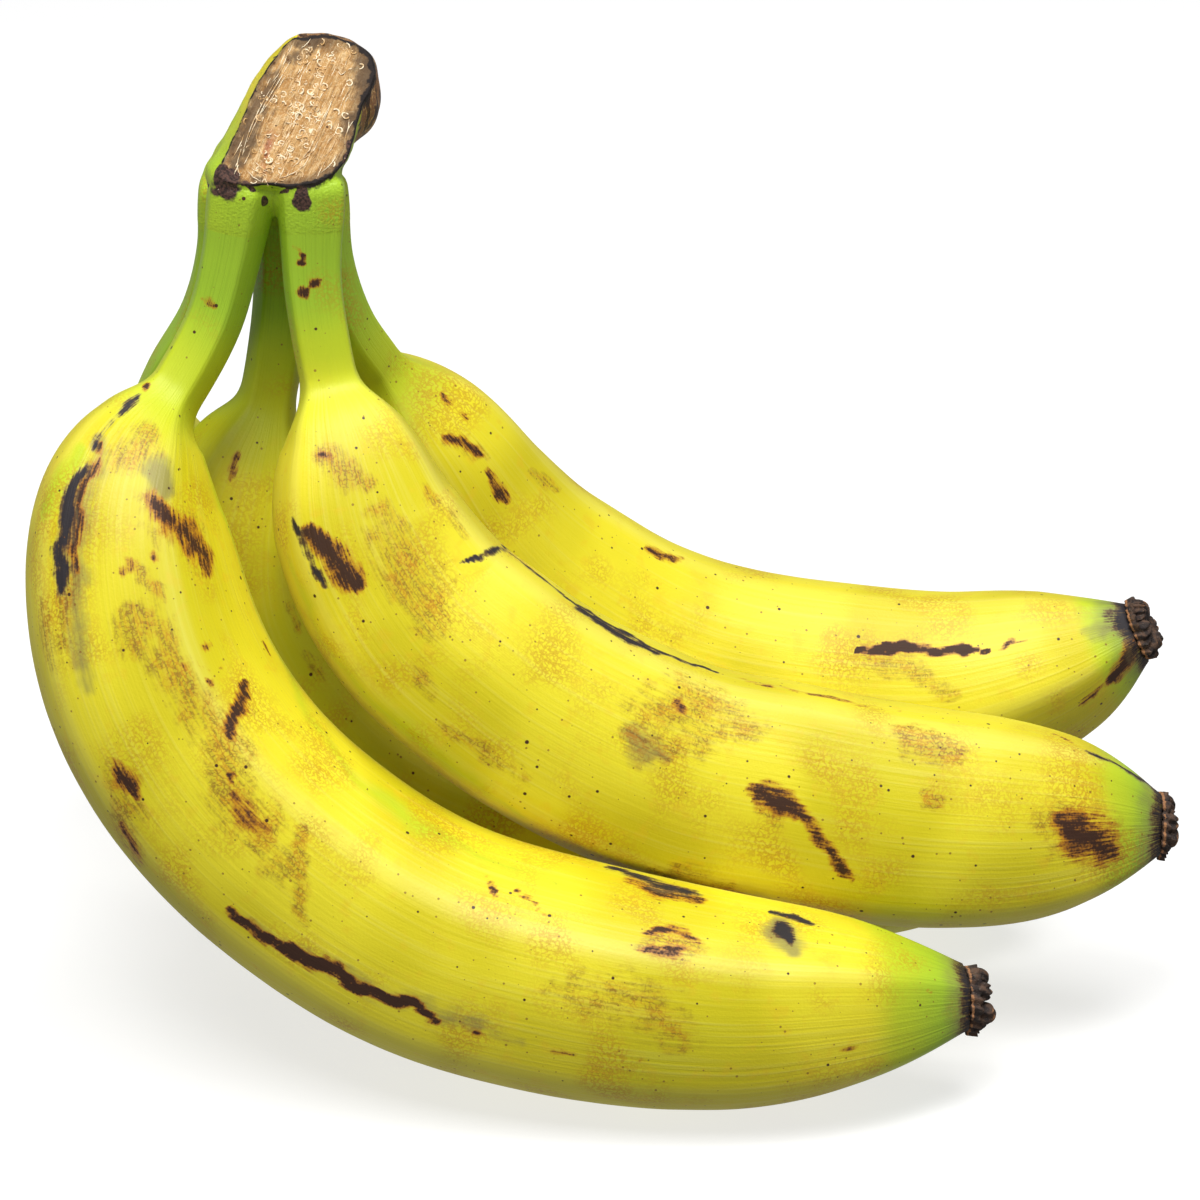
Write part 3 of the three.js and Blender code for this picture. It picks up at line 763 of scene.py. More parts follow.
# Round specks of uneven size: a part of the cells have one
def specks(tree, place, spacing, size, part):
    cells = tree.nodes.new("ShaderNodeTexVoronoi")
    tree.links.new(place, cells.inputs["Vector"])
    cells.inputs["Scale"].default_value = 1 / (spacing * mm)
    draw = tree.nodes.new("ShaderNodeSeparateColor")
    tree.links.new(cells.outputs["Color"], draw.inputs[0])
    chosen = addNode(tree, "ShaderNodeMath", {0: draw.outputs[0], 1: part}, operation="LESS_THAN")
    width = addNode(tree, "ShaderNodeMath", {0: draw.outputs[1], 1: size, 2: size * 0.35},
                    operation="MULTIPLY_ADD")
    near = addNode(tree, "ShaderNodeMath", {0: width, 1: cells.outputs["Distance"]}, operation="SUBTRACT")
    speck = addNode(tree, "ShaderNodeMapRange", {0: near, 1: 0.0, 2: size * 0.4, 4: 1.0},
                    interpolation_type="SMOOTHSTEP")
    return addNode(tree, "ShaderNodeMath", {0: speck, 1: chosen}, operation="MULTIPLY")


# Ends a material in its shader, over a relief so many millimetres deep
def finishMaterial(tree, height, depth, strength, inputs):
    relief = addNode(tree, "ShaderNodeBump", {"Height": height, "Distance": depth * mm, "Strength": strength})
    shader = addNode(tree, "ShaderNodeBsdfPrincipled", {**inputs, "Normal": relief})
    addNode(tree, "ShaderNodeOutputMaterial", {"Surface": shader})


# The skin's colour, roughness and height, for the bananas and for the crown's rind
def skinNodes(tree):
    look = skinLook
    marks = fieldsOf(tree, markKinds + ("ridgeLine",))
    place, noises = noisesOn(tree, look["noises"])
    skinPlace = addNode(tree, "ShaderNodeAttribute", out="Vector", attribute_name="skinPlace")
    for name, (length, count, detail) in look["lengthwise"].items():
        turns = count / (2 * math.pi)
        drawn = addNode(tree, "ShaderNodeVectorMath", {0: skinPlace, 1: (1 / length, turns, turns)},
                        operation="MULTIPLY")
        noises[name] = addNode(tree, "ShaderNodeTexNoise", {"Vector": drawn, "Scale": 1.0, "Detail": detail})
    cloud, grain, hair, fluff = (noises[name] for name in ("cloud", "grain", "hair", "fluff"))
    worm = worms(tree, noises["wormy"], 0.12)

    moved = addNode(tree, "ShaderNodeMath", {0: cloud, 1: 0.5}, operation="SUBTRACT")
    green = addNode(tree, "ShaderNodeMath", {0: moved, 1: 0.4, 2: marks["green"]}, operation="MULTIPLY_ADD")
    fullGreen = addNode(tree, "ShaderNodeMapRange", {0: green, 1: 0.45, 2: 0.95, 4: 1.0},
                        interpolation_type="SMOOTHSTEP")
    base = layered(tree, look, "yellow", [
        (cloud, "deepYellow", 0.38, 0.62, 1.0),
        (grain, "paleYellowAndPaintedHighlight", 0.48, 0.78, 0.22),
        (fluff, "warmYellow", 0.55, 0.75, 0.35),
        # painted highlight: a pale line along the top of each ridge
        (marks["ridgeLine"], "paleYellowAndPaintedHighlight", 0.045, 0.11, 0.3),
        (green, "yellowGreen", 0.1, 0.5, 1.0),
        (fullGreen, "lime"),
        (grain, "deepGreen", 0.48, 0.72, 0.28, fullGreen),
        (noises["patch"], "stain", 0.46, 0.72, 0.6, worm),
    ])

    net = addNode(tree, "ShaderNodeMapRange", {0: worm, 3: 0.4, 4: 1.0})
    full = {}
    for kind, roughs, low, high, strength, tone in markLayers:
        amounts = [(noises[name], amount) for name, amount in roughs.items()]
        full[kind] = ragged(tree, marks[kind], amounts, low, high, strength)
        if kind == "stain":
            full[kind] = addNode(tree, "ShaderNodeMath", {0: full[kind], 1: net}, operation="MULTIPLY")
            tone = layered(tree, look, "stain", [(hair, "stainDark", 0.42, 0.6, 1.0)])
        base = layered(tree, look, base, [(full[kind], tone)])
    smallDots = specks(tree, place, look["smallDotSpacing"], 0.12, 0.9)
    smallDots = addNode(tree, "ShaderNodeMath", {0: smallDots, 1: 0.7}, operation="MULTIPLY")
    dots = specks(tree, place, look["dotSpacing"], 0.09, 0.9)
    base = layered(tree, look, base, [(dots, "dot"), (smallDots, "scuffEdge")])

    worn = addNode(tree, "ShaderNodeMath", {0: full["bruise"], 1: full["scuff"]}, operation="MAXIMUM")
    rough = addNode(tree, "ShaderNodeMapRange", {0: worn, 3: look["roughness"], 4: look["wornRoughness"]})
    height = addNode(tree, "ShaderNodeMath", {0: grain, 1: 0.16}, operation="MULTIPLY")
    for pattern, amount in ((noises["grit"], 0.05), (marks["bruise"], -0.12)):
        height = addNode(tree, "ShaderNodeMath", {0: pattern, 1: amount, 2: height},
                         operation="MULTIPLY_ADD")
    return base, rough, height


def bananaSkin():
    material, tree = newMaterial("bananaSkin")
    base, rough, height = skinNodes(tree)
    finishMaterial(tree, height, 1.0, 0.6, {"Base Color": base, "Roughness": rough, "IOR": 1.42})
    return material


# Cut crown: dry, matt plant fibre, tan with cream strands, blackened where the air first got at it.
# Its sides keep the waxy green skin. Sizes in millimetres; the cut's own noises come with how they
# are stretched on it, their feature size, detail and distortion.
crownLook = {
    "tan": "#CFA66C",
    "deepTan": "#A67840",
    "cream": "#EBD3A6",
    "hole": "#5B3D22",
    "shade": "#5A4734",
    "reddish": "#A8614A",
    "husk": "#8C6039",
    "huskDark": "#38261B",
    "edge": "#241D1B",
    "scar": "#5C4138",
    "scarDeep": "#2C201D",
    "scarSpeck": "#D8C6A2",
    "noises": {"fluff": (1.2, 3.0), "grit": (0.4, 2.0)},
    "cutNoises": {
        "cloud": ((1.0, 1.0, 1.0), 3.4, 4.0, 0.0),
        "strand": ((1.0, 0.16, 1.0), 0.9375, 3.0, 0.8),
        "curl": ((1.0, 1.0, 1.0), 1.5, 2.0, 2.2),
        "hair": ((3.2, 0.22, 1.0), 1.0, 2.0, 0.5),
    },
    "holeSpacing": 1.6,
    "speckSpacing": 1.3,
    "edgeWidth": 0.75,
    "roughness": 0.85,
}


def crownSkin():
    look = crownLook
    material, tree = newMaterial("driedCrown")
    base, rough, height = skinNodes(tree)
    place, noises = noisesOn(tree, look["noises"])
    fluff, grit = noises["fluff"], noises["grit"]
    fields = fieldsOf(tree, ("face", "edge", "relief", "bark", "scar", "shade", "reddish"))
    facePlace = addNode(tree, "ShaderNodeAttribute", out="Vector", attribute_name="facePlace")
    for name, (stretch, size, detail, distortion) in look["cutNoises"].items():
        drawn = addNode(tree, "ShaderNodeVectorMath", {0: facePlace, 1: stretch}, operation="MULTIPLY")
        noises[name] = addNode(tree, "ShaderNodeTexNoise", {"Vector": drawn, "Scale": 1 / size,
                                                            "Detail": detail, "Distortion": distortion})
    cloud, strand, hair = noises["cloud"], noises["strand"], noises["hair"]

    tone = addNode(tree, "ShaderNodeMapRange", {0: cloud, 1: 0.35, 2: 0.65})
    low = addNode(tree, "ShaderNodeMapRange", {0: fields["relief"], 1: 0.05, 2: -0.3, 4: 0.75})
    lines = [addNode(tree, "ShaderNodeMath", {0: worms(tree, noises[name], width), 1: 0.6},
                     operation="MULTIPLY") for name, width in (("curl", 0.022), ("strand", 0.018))]
    rim = addNode(tree, "ShaderNodeMath", {0: cloud, 1: 3.0, 2: fields["edge"]}, operation="MULTIPLY_ADD")
    flesh = layered(tree, look, "tan", [
        (tone, "deepTan"),
        (strand, "deepTan", 0.44, 0.62, 0.6),
        (hair, "shade", 0.55, 0.72, 0.6),
        (hair, "cream", 0.45, 0.3, 0.5),
        (low, "deepTan"),
        (lines[0], "cream"),
        (lines[1], "cream"),
        (ragged(tree, fields["shade"], [(fluff, 1.0), (strand, 0.8)], 0.05, 0.8, 0.85), "shade"),
        (rim, "shade", -1.6, 1.2, 0.75),
        (ragged(tree, fields["reddish"], [(fluff, 1.0)], 0.2, 0.9, 0.7), "reddish"),
        (specks(tree, place, look["holeSpacing"], 0.15, 0.9), "hole"),
    ])

    grooves = addNode(tree, "ShaderNodeVectorMath", {0: place, 1: (1.0, 1.0, 0.22)}, operation="MULTIPLY")
    grooves = addNode(tree, "ShaderNodeTexNoise",
                      {"Vector": grooves, "Scale": 1 / (1.1 * mm), "Detail": 3.0, "Distortion": 0.6})
    husk = layered(tree, look, "huskDark", [(grooves, "husk", 0.35, 0.6, 1.0),
                                            (worms(tree, grooves, 0.03), "tan")])
    shifted = addNode(tree, "ShaderNodeMath", {0: fluff, 1: 0.5}, operation="SUBTRACT")
    shifted = addNode(tree, "ShaderNodeMath", {0: shifted, 1: 1.6, 2: fields["edge"]},
                      operation="MULTIPLY_ADD")
    wide = look["edgeWidth"]
    black = addNode(tree, "ShaderNodeMapRange", {0: shifted, 1: -wide, 2: -wide * 0.55},
                    interpolation_type="SMOOTHSTEP")
    scar = ragged(tree, fields["scar"], [(fluff, 0.5)], 0.12, 0.3)
    deep = addNode(tree, "ShaderNodeMapRange", {0: grit, 1: 0.4, 2: 0.6})
    bits = specks(tree, place, look["speckSpacing"], 0.12, 0.35)
    bits = addNode(tree, "ShaderNodeMath", {0: bits, 1: scar}, operation="MULTIPLY")
    whole = layered(tree, look, base, [
        (ragged(tree, fields["bark"], [(fluff, 0.7)], 0.35, 0.55), husk),
        (fields["face"], flesh),
        (black, "edge"),
        (scar, layered(tree, look, "scarDeep", [(deep, "scar")])),
        (bits, "scarSpeck"),
    ])

    rough = addNode(tree, "ShaderNodeMix", {0: fields["face"], 2: rough, 3: look["roughness"]})
    strands = addNode(tree, "ShaderNodeMath", {0: strand, 1: fields["face"]}, operation="MULTIPLY")
    for pattern, amount in ((grit, 0.2), (strands, 0.8)):
        height = addNode(tree, "ShaderNodeMath", {0: pattern, 1: amount, 2: height},
                         operation="MULTIPLY_ADD")
    finishMaterial(tree, height, 1.0, 0.6, {"Base Color": whole, "Roughness": rough, "IOR": 1.42})
    return material


def finishPiece(piece, nodes):
    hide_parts(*nodes)
    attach(piece, "root")
    return piece


# Where a banana is green or dark, in millimetres from its stalk's end or before its tip
bananaTones = {
    "stalkPales": (-24, -2),
    "stalkPaling": 0.62,
    "greenEnds": (-4, 16),
    "tipGreen": 0.9,
    "tipGreenReach": 1.8,
    "ring": (3.4, 0.3),
    "ringStrength": 0.62,
    "tipShade": (7, 1),
    "tipShadeStrength": 0.75,
}


def makeBananas(skin):
    tree = bananaTree(skin)
    tones = bananaTones
    for name, banana in bananas.items():
        piece, length = bananaSeed(name, banana)
        grow(piece, tree, {
            "Girth": banana["girth"], "Stalk Length": float(banana["stalk"]),
            "Taper Length": float(banana["taper"]), "Length": float(length),
            "Seed": float(banana["seed"]),
        })
        along = getAttribute(piece, "skinPlace", 3)[:, 0]
        pales, ends = ([banana["stalk"] + far for far in tones[key]] for key in ("stalkPales", "greenEnds"))
        green = (1 - tones["stalkPaling"] * smoothstep(*pales, along)) * (1 - smoothstep(*ends, along))
        tipStart = length - banana["greenTip"] * tones["tipGreenReach"]
        tip = tones["tipGreen"] * smoothstep(tipStart, length, along)
        ring, shade = (tones[key + "Strength"] * smoothstep(*(length - far for far in tones[key]), along)
                       for key in ("ring", "tipShade"))
        ready = {
            # each banana's own green tint; on the fingers in between and behind the others it also paints
            # their shade
            "green": np.maximum.reduce((green, tip, np.full(len(along), banana["greenTintAndPaintedShade"]))),
            "bruise": ring,
            "smudgeAndPaintedShade": shade,
        }
        paint(piece, banana["marks"], markKinds, marksBehind(piece, banana, length), ready)
        finishPiece(piece, [name])
        print(name, "grown,", len(piece.data.polygons), "faces")


# The crown, in millimetres: its sections from underside to top as centre, half widths and rise,
# the knife cut, the lobe, and how it runs into the stalks
crownShape = {
    "sections": [
        (-55, 1, 133.5, 5.5, 8.5, 2.5), (-55, 0.5, 136, 8.6, 13, 3), (-54, -0.5, 139, 10, 15.8, 2),
        (-52.2, -1, 141.5, 10.4, 17, 1.5),
        (-49.8, -0.5, 147.5, 9.3, 15.5, 0), (-47.8, 0.5, 152.5, 8.3, 12.5, 0),
        (-47.2, 1.5, 155.3, 6.2, 9.5, 0), (-47.8, 2, 157, 3.5, 6, 0),
    ],
    "squareness": 3.2,
    "cutLowPoint": (-54, -15.5, 140),
    "cutTilt": 50,
    "cutTurn": 6,
    "lobeCentre": (-41.5, 3.5, 148.5),
    "lobeRadii": (4.2, 6, 7.5),
    "stubLength": 10.5,
    "stubRise": 2.5,
    "stubRounding": 3,
    "stubCover": 0.07,
    "tuckLength": 6,
    "tuckDepth": 0.25,
    "undersideRounding": 4.5,
    "fillet": 4.0,
    "lobeBlend": 2.0,
    "filletFades": (129, 138),
    "lumps": [(0.12, (0.9, 0.5, 0.3), (-0.4, 0.8, 0.6)), (0.15, (0.31, -0.22, 0.43), (-0.18, 0.36, 0.29))],
    "edgeRounding": 0.35,
    "cell": 0.32,
    "low": (-72, -22, 124),
    "high": (-34, 21, 158.5),
}

# Relief of the dried cut, in millimetres: a shallow hollow within its rim, and lengthwise fibres, knots
# and holes, each by how fine it is across and along, its layer of the noise, and its height
cutRelief = {
    "swells": [(1.6, 0.3, 3, 0.24), (1.1, 1.1, 7, 0.3), (2.6, 2.6, 5, 0.2)],
    "depth": 0.9,
    "hollow": 0.35,
    "rim": 1.2,
}

# Marks on the crown by the picture's pixels, as on the bananas
crownMarks = {
    "scarLeft": ("scar", 3.6, 1, [(222, 172), (228, 186), (238, 194)]),
    "scarLeftRim": ("scar", 1.0, 1, [(238, 172), (232, 178), (226, 176)]),
    "scarGloss": ("scar", 2.4, 1, [(248, 184), (258, 192), (265, 201)]),
    "scarGlossUp": ("scar", 0.9, 1, [(244, 182), (254, 190), (268, 192), (284, 188)]),
    "scarPoint": ("scar", 2.8, 1, [(286, 189), (299, 196), (314, 189)]),
    "scarPointLow": ("scar", 2.6, 1, [(299, 188), (300, 202), (302, 219)]),
    "scarPointSide": ("scar", 0.9, 1, [(311, 190), (309, 200), (307, 211)]),
    "edgeRight": ("scar", 0.7, 1, [(313, 186), (325, 184), (337, 180), (342, 172)]),
    "edgeRightUp": ("scar", 0.55, 1, [(342, 172), (344, 160), (347, 146), (351, 134), (358, 126),
                                      (366, 120)]),
    "topDark": ("shade", 2.6, 1, [(296, 42), (304, 44), (314, 46)]),
    "topDarkSecond": ("shade", 1.6, 0.9, [(286, 62), (298, 50)]),
    "darkRight": ("shade", 4, 1, [(361, 62), (368, 78), (371, 96), (368, 110)]),
    "darkRightLow": ("shade", 2.6, 0.95, [(360, 112), (352, 122), (346, 134)]),
    "darkLeft": ("shade", 2.6, 1, [(279, 74), (262, 100), (250, 128), (240, 152), (236, 170)]),
    "red": ("reddish", 1.7, 1, [(279, 127), (272, 138), (266, 150), (264, 158)]),
    "redBelow": ("reddish", 1.6, 0.6, [(262, 160), (262, 172), (266, 182)]),
    "cloudBottom": ("shade", 1.5, 0.7, [(250, 176), (262, 182), (280, 184)]),
    "rindFleckA": ("scar", 0.35, 1, [(272, 58), (274, 60)]),
    "rindFleckB": ("scar", 0.3, 1, [(255, 88), (256, 89)]),
    "rindFleckC": ("scar", 0.3, 0.9, [(251, 95), (251, 96)]),
    "knuckleRim": ("scar", 0.45, 1, [(199, 195), (202, 188), (209, 183)]),
}
crownKinds = ("green", "scar", "shade", "reddish")


def crownSection(heights):
    rows = smoothLine(crownShape["sections"])
    return [np.interp(heights, rows[:, 2], rows[:, k]) for k in (0, 1, 3, 4, 5)]


# Distance to the crown's cushion before the knife cut
def cushionField(points):
    heights = points[:, 2]
    for _ in range(3):
        x, y, halfX, halfY, rise = crownSection(heights)
        heights = points[:, 2] + rise * np.clip((points[:, 1] - y) / halfY, -1.3, 1.3)
    across, away = points[:, 0] - x, points[:, 1] - y
    power = crownShape["squareness"]
    ratio = (abs(across / halfX)**power + abs(away / halfY)**power)**(1 / power)
    side = np.hypot(across, away) * (1 - 1 / np.maximum(ratio, 0.05))
    low, high = crownShape["sections"][0][2], crownShape["sections"][-1][2]
    top = np.maximum(side, heights - high)
    return -blendMin(-top, heights - low, crownShape["undersideRounding"])


# Distance to an ellipsoid, about, from points by their way from its middle
def eggField(away, radii):
    ratio = np.linalg.norm(away / radii, axis=1)
    return ratio * (ratio - 1) / np.maximum(np.linalg.norm(away / radii**2, axis=1), 1e-6)


def lobeField(points):
    return eggField(points - np.array(crownShape["lobeCentre"]), np.array(crownShape["lobeRadii"]))


# How far along and out of a stalk's centre line points lie, and in which direction round it
def roundStalk(points, stub):
    place, outward, front, along, distance, flat = stub
    gap = (points**2).sum(1)[:, None] - 2 * points @ place.T + (place**2).sum(1)
    nearest = gap.argmin(1)
    away = points - place[nearest]
    ahead = (away * along[nearest]).sum(1)
    out, side = (away * outward[nearest]).sum(1), (away * front[nearest]).sum(1)
    return distance[nearest] + ahead, np.hypot(out, side), np.degrees(np.arctan2(side, out)) % 360


# The first part of a banana's stalk, a hair thicker than the banana so that it covers it
def stubField(points, stub):
    travelled, out, angle = roundStalk(points, stub)
    flat = stub[-1]
    lift = np.interp(angle, np.arange(361), np.append(flat, flat[0]))
    shape = bananaShape
    below = np.maximum(travelled, 0)
    radius = shape["Stalk Radius"] + shape["Stalk Flare"] * np.exp(-(below / shape["Flare Length"])**2)
    end = crownShape["stubLength"]
    tuck = smoothstep(end - crownShape["tuckLength"], end, travelled)
    cover = crownShape["stubCover"] * (1 - tuck) - crownShape["tuckDepth"] * tuck
    side = out - radius * (1 + shape["Stalk Ridge"] * lift) - cover
    ends = np.maximum(travelled - end, -travelled - crownShape["stubRise"])
    return -blendMin(-side, -ends, crownShape["stubRounding"])


def blendMin(first, second, reach):
    near = np.clip(1 - abs(first - second) / reach, 0, None)
    return np.minimum(first, second) - near**2 * reach / 4


def cutNormal():
    tilt, turn = math.radians(crownShape["cutTilt"]), math.radians(crownShape["cutTurn"])
    return np.array((-math.sin(turn) * math.cos(tilt), math.cos(turn) * math.cos(tilt), -math.sin(tilt)))


# Distances in millimetres: to the crown as it grew, and in front of the knife cut
def crownFields(points, stubs):
    shape = crownShape
    lumps = sum(high * np.sin(points @ one) * np.sin(points @ two) for high, one, two in shape["lumps"])
    whole = blendMin(cushionField(points), lobeField(points), shape["lobeBlend"]) + lumps
    fade = np.maximum(shape["fillet"] * smoothstep(*shape["filletFades"], points[:, 2]), 0.01)
    for stub in stubs:
        whole = blendMin(whole, stubField(points, stub), fade)
    return whole, (points - np.array(shape["cutLowPoint"])) @ -cutNormal()


def crownField(points, stubs):
    whole, knife = crownFields(points, stubs)
    return -blendMin(-whole, -knife, crownShape["edgeRounding"])


def stubsOfStalks():
    stubs = []
    for banana in bananas.values():
        distance, place, outward, front, length = centreLine(banana, bananaShape["Rings"])
        near = slice(1, np.searchsorted(distance, crownShape["stubLength"] + 2))
        angle, flat = sectionOf(banana["ridges"], 360)
        along = np.cross(front, outward)
        stubs.append((place[near], outward[near], front[near], along[near], distance[near], flat))
    return stubs


# The grain of the nearest stalk, carried on up the crown's sides
def placeOnStalks(points, stubs):
    nearest = np.argmin([stubField(points, stub) for stub in stubs], 0)
    made = np.zeros((len(points), 3))
    for index, stub in enumerate(stubs):
        travelled, out, angle = roundStalk(points, stub)
        here = np.stack((travelled, np.cos(np.radians(angle)), np.sin(np.radians(angle))), 1)
        made[nearest == index] = here[nearest == index]
    return made


# The surface where a field is nothing, on a grid of cells: a point in each cell that it crosses,
# and a face round each grid edge that it crosses
def surfaceOf(field, low, high, cell):
    coarse = 3
    counts = [int((h - l) / cell / coarse) + 2 for l, h in zip(low, high)]
    marks = [l + cell * coarse * (np.arange(n) + 0.5) - cell / 2 for l, n in zip(low, counts)]
    rough = field(np.stack(np.meshgrid(*marks, indexing="ij"), -1).reshape(-1, 3)).reshape(counts)
    values = rough.repeat(coarse, 0).repeat(coarse, 1).repeat(coarse, 2)
    near = np.argwhere(abs(values) < cell * coarse * 1.6)
    values[tuple(near.T)] = field(near * cell + np.array(low))
    inside = values < 0
    size = np.array(values.shape) - 1
    total, crossings = np.zeros((*size, 3)), np.zeros(size)
    corners = [(i, j, k) for i in (0, 1) for j in (0, 1) for k in (0, 1)]
    for start in corners:
        for axis in range(3):
            if start[axis]:
                continue
            end = list(start)
            end[axis] = 1
            first, second = (values[tuple(slice(c, c + s) for c, s in zip(at, size))] for at in (start, end))
            crossed = (first < 0) != (second < 0)
            share = np.where(crossed, first / np.where(crossed, first - second, 1), 0)
            for direction in range(3):
                step = share if direction == axis else start[direction]
                total[..., direction] += np.where(crossed, step, 0)
            crossings += crossed
    cells = np.argwhere(crossings > 0)
    number = np.full(size, -1)
    number[tuple(cells.T)] = np.arange(len(cells))
    points = (cells + total[tuple(cells.T)] / crossings[tuple(cells.T)][:, None]) * cell + np.array(low)
    faces = []
    for axis in range(3):
        one, two = [d for d in range(3) if d != axis]
        if axis == 1:
            one, two = two, one
        ahead = np.roll(inside, -1, axis)
        for found, turned in ((inside & ~ahead, False), (~inside & ahead, True)):
            edges = np.argwhere(found)
            edges = edges[(edges[:, axis] < size[axis]) & (edges[:, one] > 0) & (edges[:, two] > 0)]
            ring = []
            for stepOne, stepTwo in ((1, 1), (0, 1), (0, 0), (1, 0)):
                at = edges.copy()
                at[:, one] -= stepOne
                at[:, two] -= stepTwo
                ring.append(number[tuple(at.T)])
            quads = np.stack(ring, 1)
            faces.append(quads[:, ::-1] if turned else quads)
    return points, np.vstack(faces)


# Moves points onto the surface where the field is nothing
def settle(points, field, rounds=3):
    nudge = 0.03
    for _ in range(rounds):
        here = field(points)
        slope = np.stack([(field(points + nudge * np.eye(3)[k]) - here) / nudge for k in range(3)], 1)
        steep = np.maximum((slope**2).sum(1), 0.2)
        points = points - np.clip(here / steep, -0.3, 0.3)[:, None] * slope
    return points


# Where a pixel's line of sight meets the cut face, in millimetres
def onCutFace(pixel):
    view = pictureView
    back, up = viewDirections()
    eye = np.array(view["lookAt"], float) + back * view["distance"]
    reach = view["pixelsPerMm"] * view["distance"]
    middle = view["lookAtPixel"]
    ray = up * (middle[1] - pixel[1]) / reach - back
    ray[0] += (pixel[0] - middle[0]) / reach
    normal = cutNormal()
    share = (np.array(crownShape["cutLowPoint"]) - eye) @ normal / (ray @ normal)
    return eye + ray * share


# Directions on the cut face: along its fibres, and across them
def cutDirections():
    along = onCutFace((297, 40)) - onCutFace((240, 160))
    along /= np.linalg.norm(along)
    return along, np.cross(along, cutNormal())


def makeCrown(material):
    stubs = stubsOfStalks()
    shape = crownShape

    def field(points):
        return crownField(points, stubs)

    points, faces = surfaceOf(field, shape["low"], shape["high"], shape["cell"])
    points = settle(points, field)
    whole, knife = crownFields(points, stubs)
    face = 1 - smoothstep(0.02, 0.25, -knife)
    edge = np.where(face > 0.5, whole, knife)  # below nothing, and nearer to it towards the cut edge
    along, across = cutDirections()
    place = points - np.array(shape["cutLowPoint"])
    facePlace = np.stack((place @ across, place @ along, place @ cutNormal()), 1)

    relief = np.zeros(len(points))
    for index in np.flatnonzero(face > 0.01):
        u, v = facePlace[index, :2]
        relief[index] = sum(noise.noise(Vector((u * fineU, v * fineV, layer))) * high
                            for fineU, fineV, layer, high in cutRelief["swells"])
    inside = face * smoothstep(0, -cutRelief["rim"], whole)
    push = inside * (relief * cutRelief["depth"] - cutRelief["hollow"])
    points = points - cutNormal() * push[:, None]
    piece = newPiece("crown_cushion", points * mm, faces.tolist())
    piece.data.shade_smooth()
    # the lobe and the rim above the cut have dried to bark, and the black edge is widest at the left
    across01 = smoothstep(-8, 7, facePlace[:, 0])
    bark = 1 - smoothstep(0.2, 1.6, lobeField(points))
    top = smoothstep(150, 153.5, points[:, 2]) * smoothstep(-51.5, -49.5, points[:, 0])
    bark = np.maximum(bark, top)
    setAttribute(piece, "face", face)
    setAttribute(piece, "bark", bark * (1 - face))
    setAttribute(piece, "edge", edge / (1.15 - 0.75 * across01))
    setAttribute(piece, "relief", relief)
    setAttribute(piece, "facePlace", facePlace, "FLOAT_VECTOR")
    setAttribute(piece, "skinPlace", placeOnStalks(points, stubs), "FLOAT_VECTOR")
    green = 0.8 - 0.75 * smoothstep(140, 153, points[:, 2])
    paint(piece, crownMarks, dict.fromkeys(crownKinds + markKinds), (), {"green": green})
    piece.data.materials.append(material)
    print("crown grown,", len(faces), "faces")
    return finishPiece(piece, ["crown"])


# Cream fibres on the cut, in millimetres: how many curls on a square millimetre, how wide they curl,
# how thick they are, and how many straight ones there are, with their points' spacing, how far a point
# may lie from the face, and how far it is lifted off it
fibreShape = {
    "density": 1.1,
    "smallest": 0.24,
    "largest": 0.58,
    "thickness": 0.12,
    "strandThickness": 0.08,
    "strands": 46,
    "spacing": 0.25,
    "reach": 0.9,
    "lift": 0.05,
    "seed": 8,
}

# Long fibres that can be followed in the picture, by pixel
longFibres = [
    [(284, 71), (265, 103), (253, 127), (247, 141)], [(286, 74), (270, 100), (259, 114)],
    [(276, 79), (262, 103), (250, 128), (243, 150)], [(290, 60), (280, 78), (268, 98)],
    [(335, 93), (324, 119), (316, 135), (306, 153), (292, 167)], [(333, 98), (321, 122), (312, 142)],
    [(241, 148), (237, 165), (240, 175)], [(247, 170), (254, 177), (261, 181)],
    [(250, 166), (258, 172), (266, 177)], [(254, 160), (262, 168), (270, 172)],
    [(256, 134), (258, 144), (262, 154)], [(262, 171), (266, 181), (269, 187)],
    [(300, 48), (306, 44), (311, 38)], [(306, 66), (301, 76), (299, 84)],
    [(345, 46), (350, 54), (348, 62)], [(352, 50), (347, 58), (345, 66)],
    [(338, 70), (341, 74), (346, 70)], [(300, 160), (313, 150), (318, 140)],
    [(320, 172), (330, 164), (338, 152)], [(276, 178), (290, 174), (306, 164)],
    [(349, 118), (348, 128), (345, 136)], [(322, 158), (331, 148), (336, 136)],
]


